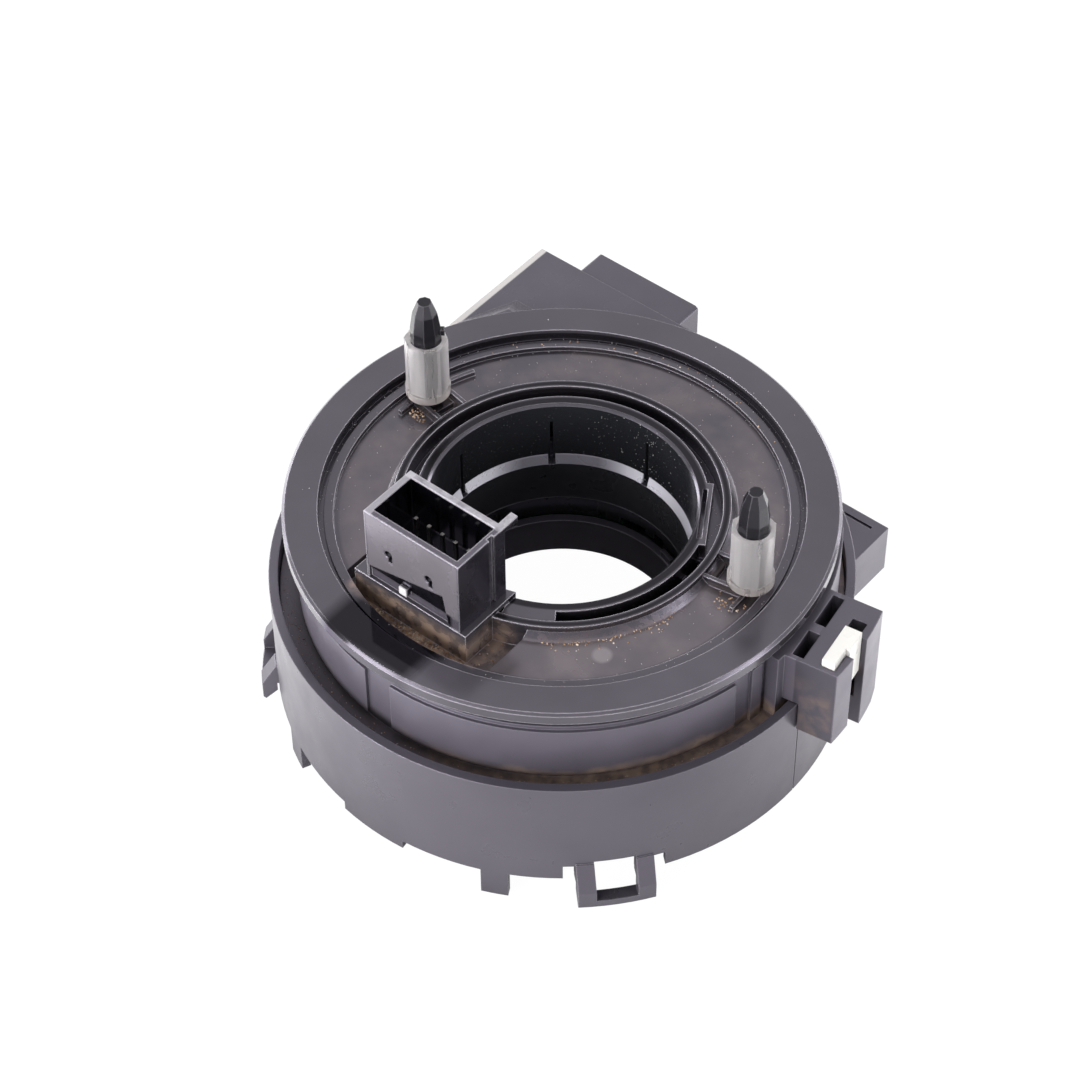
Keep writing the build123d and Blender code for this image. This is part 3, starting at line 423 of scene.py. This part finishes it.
forward = math_node(tree, "SUBTRACT", product(tree, x, math.sin(front_turn)),
                    product(tree, y, math.cos(front_turn)))
on_floor = product(tree, window(tree, radius, floor_in, floor_out, 0.4 * mm),
                   window(tree, z, floor_top - 0.3 * mm, floor_top + 0.3 * mm, 0.1 * mm))
# Painted light: the sunk floor is lighter towards the front.
lit_to_front = spread(tree, forward, 0.0, 1.0, lit_from, lit_full)
tinted(tree, surface, product(tree, on_floor, lit_to_front), floor_painted_light)

film = product(tree, window(tree, radius, floor_in, floor_out, 0.6 * mm),
               window(tree, z, recess_floor - 0.5 * mm, ledge_top - 0.1 * mm, 0.1 * mm), clouds, 0.32)
trough_foot = product(tree, window(tree, radius, floor_in, floor_in + 2.0 * mm, 0.8 * mm),
                      window(tree, x, stained_left, stained_right, 2.0 * mm),
                      window(tree, y, stained_front, stained_back, 2.0 * mm))
stain = product(tree, trough_foot, flecks, 0.8)
foot = product(tree, window(tree, y, pedestal_front - 2.6 * mm, pedestal_front + 0.4 * mm, 0.9 * mm),
               window(tree, x, pedestal_left, pedestal_right + 4.0 * mm, 0.8 * mm))
side_foot = product(tree, window(tree, y, pedestal_front - 1.8 * mm, pedestal_front + 9.2 * mm, 1.5 * mm),
                    window(tree, x, pedestal_right - 0.2 * mm, pedestal_right + 3.5 * mm, 1.5 * mm), 0.6)
low = window(tree, z, recess_floor - 1.5 * mm, recess_floor + 4.6 * mm, 1.4 * mm)
heap = product(tree, strongest(tree, foot, side_foot), low, clumps)
tinted(tree, surface, film, dust_brown)
tinted(tree, surface, stain, stain_brown)
tinted(tree, surface, product(tree, heap, 0.9), heap_brown)
dirt = strongest(tree, film, stain, heap)

# Painted shade: the hub tube's inside is darkened nearly black.
tube = product(tree, window(tree, radius, hub_in - 4.2 * mm, hub_in + 0.3 * mm, 0.1 * mm),
               window(tree, z, 20.0 * mm, rim_top - 0.4 * mm, 0.2 * mm))
tinted(tree, surface, tube, tube_painted_shade)
specks = product(tree, spread(tree, grain(tree, 2300.0, 1.0), 0.0, 1.0, 0.71, 0.75),
                 spread(tree, sideways(tree, x, y), 0.12, 0.9, speckled_from, speckled_full))
tinted(tree, surface, product(tree, specks, tube), pale_speck)

# Painted shade: the drain groove, the trough and the feet of the ledge and of the ring wall are darkened
# nearly black.
drain = product(tree, window(tree, radius, drain_in - 0.1 * mm, drain_out + 0.4 * mm, 0.1 * mm),
                window(tree, z, drain_top - 0.3 * mm, drain_top + 1.5 * mm, 0.2 * mm))
ledge_foot = product(tree, window(tree, radius, floor_out - 0.9 * mm, floor_out + 0.2 * mm, 0.25 * mm),
                     window(tree, z, floor_top - 0.2 * mm, ledge_top - 0.15 * mm, 0.1 * mm), 0.7)
wall_foot = product(tree, window(tree, radius, floor_in - 0.3 * mm, floor_in + 0.9 * mm, 0.3 * mm),
                    window(tree, z, floor_top - 0.2 * mm, rim_top - 0.2 * mm, 0.2 * mm), 0.6)
trough = product(tree, window(tree, radius, hub_out - 0.2 * mm, ring_wall_in + 0.2 * mm, 0.1 * mm),
                 window(tree, z, 30.0 * mm, rim_top - 0.3 * mm, 0.15 * mm))
shaded_hollows = strongest(tree, drain, ledge_foot, wall_foot, trough)
tinted(tree, surface, product(tree, shaded_hollows, 0.85), groove_painted_shade)

# The photographed disc mirrors the connector's dark side, and its rims have dark tops. Both are
# painted on, with a metallic share that nylon doesn't have, so they stay under any light.
mirror = product(tree, window(tree, x, mirror_left, mirror_right, 1.5 * mm),
                 window(tree, y, mirror_front, mirror_back, 1.2 * mm),
                 window(tree, z, 33.0 * mm, flange_top + 0.4 * mm, 0.3 * mm))
rims = strongest(tree, window(tree, radius, hub_in + 0.4 * mm, hub_out - 0.4 * mm, 0.2 * mm),
                 window(tree, radius, ring_wall_in + 0.3 * mm, floor_in - 0.3 * mm, 0.2 * mm))
rims = product(tree, rims, window(tree, z, rim_top - 0.4 * mm, rim_top + 0.8 * mm, 0.2 * mm))
tinted(tree, surface, product(tree, mirror, 0.95), mirror_black)
tinted(tree, surface, product(tree, rims, 0.95), rim_black)
tree.links.new(product(tree, strongest(tree, mirror, rims), 0.8), surface.inputs["Metallic"])
gloss = surface.inputs["Roughness"].links[0].from_socket
gloss = math_node(tree, "ADD", gloss, product(tree, dirt, 0.35))
tree.links.new(product(tree, gloss, spread(tree, mirror, 1.0, 0.35, 0.0, 1.0)), surface.inputs["Roughness"])


def spot(tree, centre, size):
    """1 within a small round spot about a point, with a soft edge."""
    place = tree.nodes.new("ShaderNodeTexCoord")
    away = tree.nodes.new("ShaderNodeVectorMath")
    away.operation = "DISTANCE"
    away.inputs[1].default_value = centre
    tree.links.new(place.outputs["Object"], away.inputs[0])
    return spread(tree, away.outputs["Value"], 1.0, 0.0, 0.8 * size, 1.2 * size)


# Spots on the floor: painted shade round the left post's foot, a darker brownish spot at the right post's
# foot, a small pale spot, and a black dot of painted shade on the recess floor for a small pit that isn't
# modelled.
for centre, size, amount, colour in (
        ((-35.6 * mm, 3.0 * mm, floor_top), 4.4 * mm, 0.85, (0.008, 0.007, 0.007)),
        ((36.2 * mm, 2.6 * mm, floor_top), 3.8 * mm, 0.55, (0.030, 0.021, 0.016)),
        ((27.1 * mm, -22.2 * mm, floor_top), 1.7 * mm, 1.0, (0.200, 0.180, 0.185)),
        ((4.4 * mm, -39.4 * mm, recess_floor), 0.75 * mm, 1.0, (0.002, 0.002, 0.002))):
    tinted(tree, surface, product(tree, spot(tree, centre, size), amount), colour)
dress(rotor_black, "rotor_flange")


# Wheel-side connector: the open shroud on the pedestal of the rotor disc.
# Black nylon pressed on the pins, which are tinned brass. The shade in its hollow, in its keyholes, at its
# foot and on its right face is painted on, as are the lighter front and the highlights on its rims and peg.
shroud_left, shroud_right = -14.2 * mm, 7.0 * mm
shroud_front, shroud_back = -36.0 * mm, -23.8 * mm
pedestal_top, shroud_top = 38.5 * mm, 55.0 * mm
foot_height = 2.8 * mm
front_grey, side_black, hollow_black = (0.115, 0.105, 0.120), (0.004, 0.004, 0.006), (0.002, 0.002, 0.003)
shroud_black, tree, surface = black_moulding("shroud black nylon", (0.046, 0.041, 0.052),
                                             (0.062, 0.056, 0.070), (0.20, 0.32), 0.5 * mm,
                                             (0.60, 0.57, 0.62))
radius, x, y, z = measured(tree)
front = product(tree, window(tree, y, shroud_front - 0.1 * mm, shroud_front + 0.1 * mm, 0.05 * mm),
                window(tree, z, pedestal_top + foot_height, shroud_top - 0.4 * mm, 0.4 * mm),
                window(tree, x, shroud_left + 0.4 * mm, shroud_right - 0.4 * mm, 0.1 * mm))
side = product(tree, window(tree, x, shroud_right - 0.1 * mm, shroud_right + 6.0 * mm, 0.05 * mm),
               window(tree, z, 30.0 * mm, shroud_top - 0.4 * mm, 0.2 * mm))
hollow = product(tree, window(tree, x, shroud_left + 0.7 * mm, shroud_right - 0.7 * mm, 0.1 * mm),
                 window(tree, y, shroud_front + 0.7 * mm, shroud_back - 0.7 * mm, 0.1 * mm),
                 window(tree, z, 30.0 * mm, shroud_top - 0.3 * mm, 0.15 * mm))
foot = product(tree, window(tree, x, shroud_left + 0.8 * mm, shroud_right - 2.0 * mm, 0.4 * mm),
               window(tree, y, shroud_front - 0.5 * mm, shroud_front + 0.5 * mm, 0.1 * mm),
               window(tree, z, pedestal_top - 0.2 * mm, pedestal_top + foot_height, 0.3 * mm))
# Painted shade inside the keyholes.
keyholes = product(tree, window(tree, y, shroud_front + 0.2 * mm, shroud_front + 1.3 * mm, 0.05 * mm),
                   window(tree, x, shroud_left + 0.5 * mm, shroud_right - 0.5 * mm, 0.1 * mm),
                   window(tree, z, pedestal_top + 2.0 * mm, shroud_top - 1.2 * mm, 0.1 * mm))
shade = strongest(tree, hollow, foot)
tinted(tree, surface, front, front_grey)
tinted(tree, surface, product(tree, side, 0.85), side_black)
tinted(tree, surface, shade, hollow_black)
tinted(tree, surface, keyholes, hollow_black)

# Painted highlights on the left rim, the far rim and the peg.
left_rim = product(tree, window(tree, z, shroud_top - 0.25 * mm, shroud_top + 1.0 * mm, 0.1 * mm),
                   window(tree, x, shroud_left - 1.0 * mm, shroud_left + 1.5 * mm, 0.1 * mm), 0.5)
far_rim = product(tree, window(tree, z, shroud_top - 0.35 * mm, shroud_top + 1.0 * mm, 0.1 * mm),
                  window(tree, y, shroud_back - 1.5 * mm, shroud_back + 12.0 * mm, 0.1 * mm),
                  spread(tree, grain(tree, 500.0, 3.0), 0.2, 0.6))
peg = window(tree, y, shroud_front - 4.0 * mm, shroud_front - 0.3 * mm, 0.1 * mm)
tinted(tree, surface, left_rim, (0.50, 0.48, 0.52))
tinted(tree, surface, far_rim, (0.66, 0.64, 0.68))
tinted(tree, surface, peg, (0.62, 0.61, 0.63))
gloss = surface.inputs["Roughness"].links[0].from_socket
tree.links.new(product(tree, gloss, spread(tree, shade, 1.0, 0.35, 0.0, 1.0)), surface.inputs["Roughness"])
dress(shroud_black, "wheel_connector")

# A darker copy of the tinned brass for the pins in the shroud's hollow: painted shade.
shaded_tin = tinned.copy()
shaded_tin.name = "shaded tin"
ramp = next(node for node in shaded_tin.node_tree.nodes if node.type == "VALTORGB").color_ramp
for element, level in zip(ramp.elements, (0.16, 0.26)):
    element.color = (level, level * 0.96, level * 0.92, 1.0)
dress(shaded_tin, "wheel_connector_pins")


# Driver posts: faceted black points, moulded onto the rotor disc.
# They catch the steering wheel's hub plate. Their IOR and sheen are fitted to the photograph.
post_ior = 1.45
post_sheen = (0.55, 0.53, 0.60, 1.0)
post_black, _, surface = black_moulding("post black nylon", (0.008, 0.008, 0.010), (0.016, 0.015, 0.018),
                                        (0.16, 0.28))
surface.inputs["IOR"].default_value = post_ior
surface.inputs["Specular Tint"].default_value = post_sheen
dress(post_black, "driver_post_left", "driver_post_right")


# Sleeves round the posts: natural polypropylene, milky, with streaks along their length.
# Each is pushed over its post and stands on the rotor disc, where dust tints its foot.
sleeve_foot, dusty_to = 30.0 * mm, 37.6 * mm
streak_depth, sleeve_edge = 0.03 * mm, 0.25 * mm
polypropylene_ior = 1.49
milky = bpy.data.materials.new("milky polypropylene")
tree, surface = open_tree(milky)
streaks = grain(tree, 420.0, 3.0, (1.0, 1.0, 0.07))
tree.links.new(shades(tree, streaks, [(0.36, (0.62, 0.60, 0.61)), (0.62, (0.96, 0.93, 0.94))]),
               surface.inputs["Base Color"])
radius, x, y, z = measured(tree)
dusty_foot = window(tree, z, sleeve_foot, dusty_to, 1.6 * mm)
tinted(tree, surface, product(tree, dusty_foot, 0.55), (0.58, 0.44, 0.37))
tree.links.new(spread(tree, streaks, 0.22, 0.40), surface.inputs["Roughness"])
relief(tree, surface, streaks, streak_depth, sleeve_edge)
surface.inputs["Transmission Weight"].default_value = 0.80
surface.inputs["IOR"].default_value = polypropylene_ior
dress(milky, "post_bush_left", "post_bush_right")


# Sliding lock: white acetal, in the T-shaped slot of the block on the cable housing.
# It holds the rotor centred until the steering wheel is on.
dress(white_acetal, "lock_slider")


# Dust: pale lint and brown grit that have settled in the grooves and round the feet.
# Loose crumbs, strewn over beds that lie on the faces that carry them.
def strewn(name, beds, smallest, largest, seed, material, body):
    """Strews crumbs over flat beds, each (quads, crumbs per square millimetre), all in mm."""
    corners, faces, amounts = [], [], []
    for outline, amount in beds:
        for quad in outline:
            faces.append(tuple(range(len(corners), len(corners) + 4)))
            corners.extend(tuple(value * mm for value in corner) for corner in quad)
            amounts.append(amount / mm / mm)
    bed_mesh = bpy.data.meshes.new(name + "_bed")
    bed_mesh.from_pydata(corners, [], faces)
    bed_mesh.attributes.new("crumbs", "FLOAT", "FACE").data.foreach_set("value", amounts)
    bed = bpy.data.objects.new(name + "_bed", bed_mesh)
    bpy.context.scene.collection.objects.link(bed)
    group = bpy.data.node_groups.new(name, "GeometryNodeTree")
    for label, kind in (("Bed", "NodeSocketGeometry"), ("Smallest", "NodeSocketFloat"),
                        ("Largest", "NodeSocketFloat"), ("Seed", "NodeSocketInt")):
        group.interface.new_socket(name=label, in_out="INPUT", socket_type=kind)
    group.interface.new_socket(name="Crumbs", in_out="OUTPUT", socket_type="NodeSocketGeometry")
    start = group.nodes.new("NodeGroupInput")
    end = group.nodes.new("NodeGroupOutput")
    amount = group.nodes.new("GeometryNodeInputNamedAttribute")
    amount.data_type = "FLOAT"
    amount.inputs["Name"].default_value = "crumbs"
    points = group.nodes.new("GeometryNodeDistributePointsOnFaces")
    crumb = group.nodes.new("GeometryNodeMeshIcoSphere")
    crumb.inputs["Radius"].default_value = 0.5
    crumb.inputs["Subdivisions"].default_value = 1
    size = group.nodes.new("FunctionNodeRandomValue")
    size.data_type = "FLOAT_VECTOR"
    twist = group.nodes.new("FunctionNodeRandomValue")
    twist.data_type = "FLOAT_VECTOR"
    twist.inputs["Max"].default_value = (math.tau, math.tau, math.tau)
    placed = group.nodes.new("GeometryNodeInstanceOnPoints")
    real = group.nodes.new("GeometryNodeRealizeInstances")
    finish = group.nodes.new("GeometryNodeSetMaterial")
    finish.inputs["Material"].default_value = material
    for out, into in ((start.outputs["Bed"], points.inputs["Mesh"]),
                      (amount.outputs["Attribute"], points.inputs["Density"]),
                      (start.outputs["Seed"], points.inputs["Seed"]),
                      (start.outputs["Seed"], size.inputs["Seed"]),
                      (start.outputs["Smallest"], size.inputs["Min"]),
                      (start.outputs["Largest"], size.inputs["Max"]),
                      (points.outputs["Points"], placed.inputs["Points"]),
                      (crumb.outputs["Mesh"], placed.inputs["Instance"]),
                      (twist.outputs["Value"], placed.inputs["Rotation"]),
                      (size.outputs["Value"], placed.inputs["Scale"]),
                      (placed.outputs["Instances"], real.inputs["Geometry"]),
                      (real.outputs["Geometry"], finish.inputs["Geometry"]),
                      (finish.outputs["Geometry"], end.inputs["Crumbs"])):
        group.links.new(out, into)
    modifier = bed.modifiers.new("strewn", "NODES")
    modifier.node_group = group
    sockets = {item.name: item.identifier for item in group.interface.items_tree if item.in_out == "INPUT"}
    modifier[sockets["Smallest"]] = smallest * mm
    modifier[sockets["Largest"]] = largest * mm
    modifier[sockets["Seed"]] = seed
    ready = bed.evaluated_get(bpy.context.evaluated_depsgraph_get())
    crumbs = bpy.data.objects.new(name, bpy.data.meshes.new_from_object(ready))
    bpy.context.scene.collection.objects.link(crumbs)
    bpy.data.objects.remove(bed)
    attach(crumbs, body)


def sector(r_in, r_out, height, start, stop):
    """Quads of a flat arc about the axis, from one angle to another, in mm and degrees."""
    degrees_per_quad = 6
    steps = max(2, round(abs(stop - start) / degrees_per_quad))
    turns = [math.radians(start + (stop - start) * step / steps) for step in range(steps + 1)]
    return [[(r * math.cos(a), r * math.sin(a), height)
             for r, a in ((r_in, before), (r_out, before), (r_out, after), (r_in, after))]
            for before, after in zip(turns, turns[1:])]


def strip(x_low, x_high, y_low, y_high, height):
    """One flat quad, in mm."""
    return [[(x_low, y_low, height), (x_high, y_low, height), (x_high, y_high, height),
             (x_low, y_high, height)]]


lint = bpy.data.materials.new("pale lint")
tree, surface = open_tree(lint)
fibres = grain(tree, 1200.0)
tree.links.new(shades(tree, fibres, [(0.35, (0.30, 0.26, 0.23)), (0.65, (0.80, 0.76, 0.74))]),
               surface.inputs["Base Color"])
surface.inputs["Roughness"].default_value = 0.8

grit = bpy.data.materials.new("brown grit")
tree, surface = open_tree(grit)
grains = grain(tree, 900.0)
tree.links.new(shades(tree, grains, [(0.32, (0.10, 0.055, 0.03)), (0.5, (0.50, 0.30, 0.17)),
                                     (0.66, (0.86, 0.72, 0.58))]),
               surface.inputs["Base Color"])
surface.inputs["Roughness"].default_value = 0.85

trough_floor = 33.9 * mm
trough_z, drain_z, ledge_z, floor_z, flange_z, recess_z, gutter_z = (
    height / mm for height in (trough_floor, drain_top, ledge_top, floor_top, flange_top, recess_floor,
                               gutter_floor))
trough_bed, floor_bed, ledge_bed, drain_bed = (26.5, 28.7), (30.5, 40.6), (40.9, 42.4), (42.6, 43.5)
flange_bed, gutter_bed = (44.0, 49.5), (48.4, 51.5)
strewn("rotor_lint", [(sector(*trough_bed, trough_z, -40.0, 215.0), 0.42),
                      (sector(*drain_bed, drain_z, 0.0, 360.0), 0.80),
                      (sector(*ledge_bed, ledge_z, 0.0, 360.0), 0.16),
                      (sector(*floor_bed, floor_z, 24.0, 158.0), 0.14),
                      (sector(*floor_bed, floor_z, 182.0, 232.0), 0.10),
                      (sector(*floor_bed, floor_z, -48.0, -2.0), 0.10),
                      (sector(*flange_bed, flange_z, 0.0, 360.0), 0.010)],
       smallest=0.06, largest=0.24, seed=3, material=lint, body="rotor")
strewn("rotor_grit", [(strip(-16.8, 8.6, -37.9, -36.4, recess_z), 8.0),
                      (strip(-16.0, 9.5, -39.2, -37.9, recess_z), 1.5),
                      (strip(8.6, 12.5, -37.5, -27.5, recess_z), 0.55),
                      (sector(30.6, 32.2, floor_z, -57.0, -12.0), 3.2),
                      (sector(32.2, 33.8, floor_z, -56.0, -14.0), 0.5),
                      (strip(-37.4, -33.6, 0.4, 4.6, floor_z), 4.0),
                      (strip(34.0, 39.6, -1.2, 2.4, floor_z), 1.8),
                      (sector(*ledge_bed, ledge_z, 60.0, 150.0), 0.25)],
       smallest=0.12, largest=0.48, seed=7, material=grit, body="rotor")
strewn("housing_grit", [(sector(*gutter_bed, gutter_z, 226.0, 342.0), 0.9),
                        (sector(*gutter_bed, gutter_z, 175.0, 226.0), 0.3)],
       smallest=0.08, largest=0.30, seed=11, material=grit, body="stator")


# Floor: plain pale paper, white to the camera, with the part's faint shadow.
# To gloss it is dark under the part, and out at its flanks up to four times brighter than
# white, which is fitted to the bright reflections on the part's sides.
lowest = cad_box[0][2]
floor_half = 1.6
shade_in, shade_out = 45 * mm, 60 * mm
flank_in, flank_out, flank_gain = 45 * mm, 170 * mm, 4.0
paper_share, paper_white = 0.94, 1.04
floor_mesh = bpy.data.meshes.new("floor")
floor_mesh.from_pydata([(-floor_half, -floor_half, lowest), (floor_half, -floor_half, lowest),
                        (floor_half, floor_half, lowest), (-floor_half, floor_half, lowest)],
                       [], [(0, 1, 2, 3)])
floor = bpy.data.objects.new("floor", floor_mesh)
bpy.context.scene.collection.objects.link(floor)
paper = bpy.data.materials.new("white paper")
tree, surface = open_tree(paper)
surface.inputs["Base Color"].default_value = (0.90, 0.90, 0.90, 1.0)
surface.inputs["Roughness"].default_value = 0.95
out = next(node for node in tree.nodes if node.type == "OUTPUT_MATERIAL")
glow = tree.nodes.new("ShaderNodeEmission")
mix = tree.nodes.new("ShaderNodeMixShader")
path = tree.nodes.new("ShaderNodeLightPath")
place = tree.nodes.new("ShaderNodeTexCoord")
reach = tree.nodes.new("ShaderNodeVectorMath")
reach.operation = "LENGTH"
tree.links.new(place.outputs["Object"], reach.inputs[0])
clear_of_part = spread(tree, reach.outputs["Value"], 0.0, 1.0, shade_in, shade_out)
radius, x, y, z = measured(tree)
flanks = spread(tree, math_node(tree, "ABSOLUTE", sideways(tree, x, y)), 1.0, flank_gain, flank_in, flank_out)
table_gloss = product(tree, clear_of_part, flanks)
seen = product(tree, path.outputs["Is Camera Ray"], paper_share)
tree.links.new(strongest(tree, seen, path.outputs["Is Glossy Ray"], path.outputs["Is Transmission Ray"]),
               mix.inputs["Fac"])
paper_seen = tree.nodes.new("ShaderNodeMapRange")
paper_seen.inputs["To Max"].default_value = paper_white
tree.links.new(path.outputs["Is Camera Ray"], paper_seen.inputs["Value"])
tree.links.new(table_gloss, paper_seen.inputs["To Min"])
tree.links.new(paper_seen.outputs["Result"], glow.inputs["Strength"])
tree.links.new(surface.outputs["BSDF"], mix.inputs[1])
tree.links.new(glow.outputs["Emission"], mix.inputs[2])
tree.links.new(mix.outputs["Shader"], out.inputs["Surface"])
floor_mesh.materials.append(paper)


# World: even white light from all sides, as in a light tent.
# It is plain white where the camera, gloss or glass sees it past the floor.
fill_level = 0.36
world = bpy.data.worlds.new("studio")
bpy.context.scene.world = world
world.use_nodes = True
tree = world.node_tree
sky = tree.nodes["Background"]
path = tree.nodes.new("ShaderNodeLightPath")
level = tree.nodes.new("ShaderNodeMapRange")
level.inputs["To Min"].default_value = fill_level
level.inputs["To Max"].default_value = 1.0
tree.links.new(strongest(tree, path.outputs["Is Camera Ray"], path.outputs["Is Glossy Ray"],
                         path.outputs["Is Transmission Ray"]), level.inputs["Value"])
tree.links.new(level.outputs["Result"], sky.inputs["Strength"])
sky.inputs["Color"].default_value = (1.0, 1.0, 1.0, 1.0)


# Softboxes: one overhead and a little behind, a wide low one at the front left, and low ones
# at the left, behind and at the right, which draw the bright lines along the edges.
aim = Vector((0.0, 0.0, 0.025))
for name, place, width, height, brightness in (
        ("overhead softbox", (-0.16, 0.19, 0.95), 0.30, 0.30, 8.0),
        ("front softbox", (-0.20, -0.86, 0.28), 0.90, 0.45, 11.0),
        ("left softbox", (-0.86, 0.04, 0.24), 0.50, 0.36, 8.0),
        ("back softbox", (0.11, 0.86, 0.24), 0.50, 0.36, 7.0),
        ("right softbox", (0.80, 0.20, 0.30), 0.30, 0.30, 9.0)):
    lamp = bpy.data.lights.new(name, "AREA")
    lamp.shape = "RECTANGLE"
    lamp.size, lamp.size_y = width, height
    lamp.energy = brightness * math.pi * width * height
    holder = bpy.data.objects.new(name, lamp)
    holder.location = place
    holder.rotation_euler = (aim - Vector(place)).to_track_quat("-Z", "Y").to_euler()
    bpy.context.scene.collection.objects.link(holder)


# Camera: the photograph's place and lens, worked out from the ellipses of the rings.
# Places are in mm about the axis, and the focal length is in pixels of the photograph.
elevation, roll = math.radians(47.38), math.radians(-0.624)
side, up, distance = 4.18, -20.28, 596.04
measured_base = 3.0
focal, photo_width = 3174.0, 1080.0
flat_right = Vector((1.0, 0.0, 0.0))
flat_up = Vector((0.0, math.sin(elevation), math.cos(elevation)))
back = Vector((0.0, -math.cos(elevation), math.sin(elevation)))
right_axis = math.cos(roll) * flat_right + math.sin(roll) * flat_up
up_axis = math.cos(roll) * flat_up - math.sin(roll) * flat_right
eye = distance * back - side * right_axis - up * up_axis
turn = Matrix.Rotation(front_turn, 3, "Z")
right_axis, up_axis, back, eye = (turn @ v for v in (right_axis, up_axis, back, eye))
eye.z -= measured_base
axes = Matrix((right_axis, up_axis, back)).transposed().to_4x4()
camera_data = bpy.data.cameras.new("camera")
camera_data.sensor_width = 36.0
camera_data.lens = focal / photo_width * camera_data.sensor_width
camera_data.clip_start = 0.01
camera_data.clip_end = 20.0
camera = bpy.data.objects.new("camera", camera_data)
camera.matrix_world = Matrix.Translation(eye * mm) @ axes
bpy.context.scene.collection.objects.link(camera)
bpy.context.scene.camera = camera
bpy.context.scene.view_settings.view_transform = "Standard"
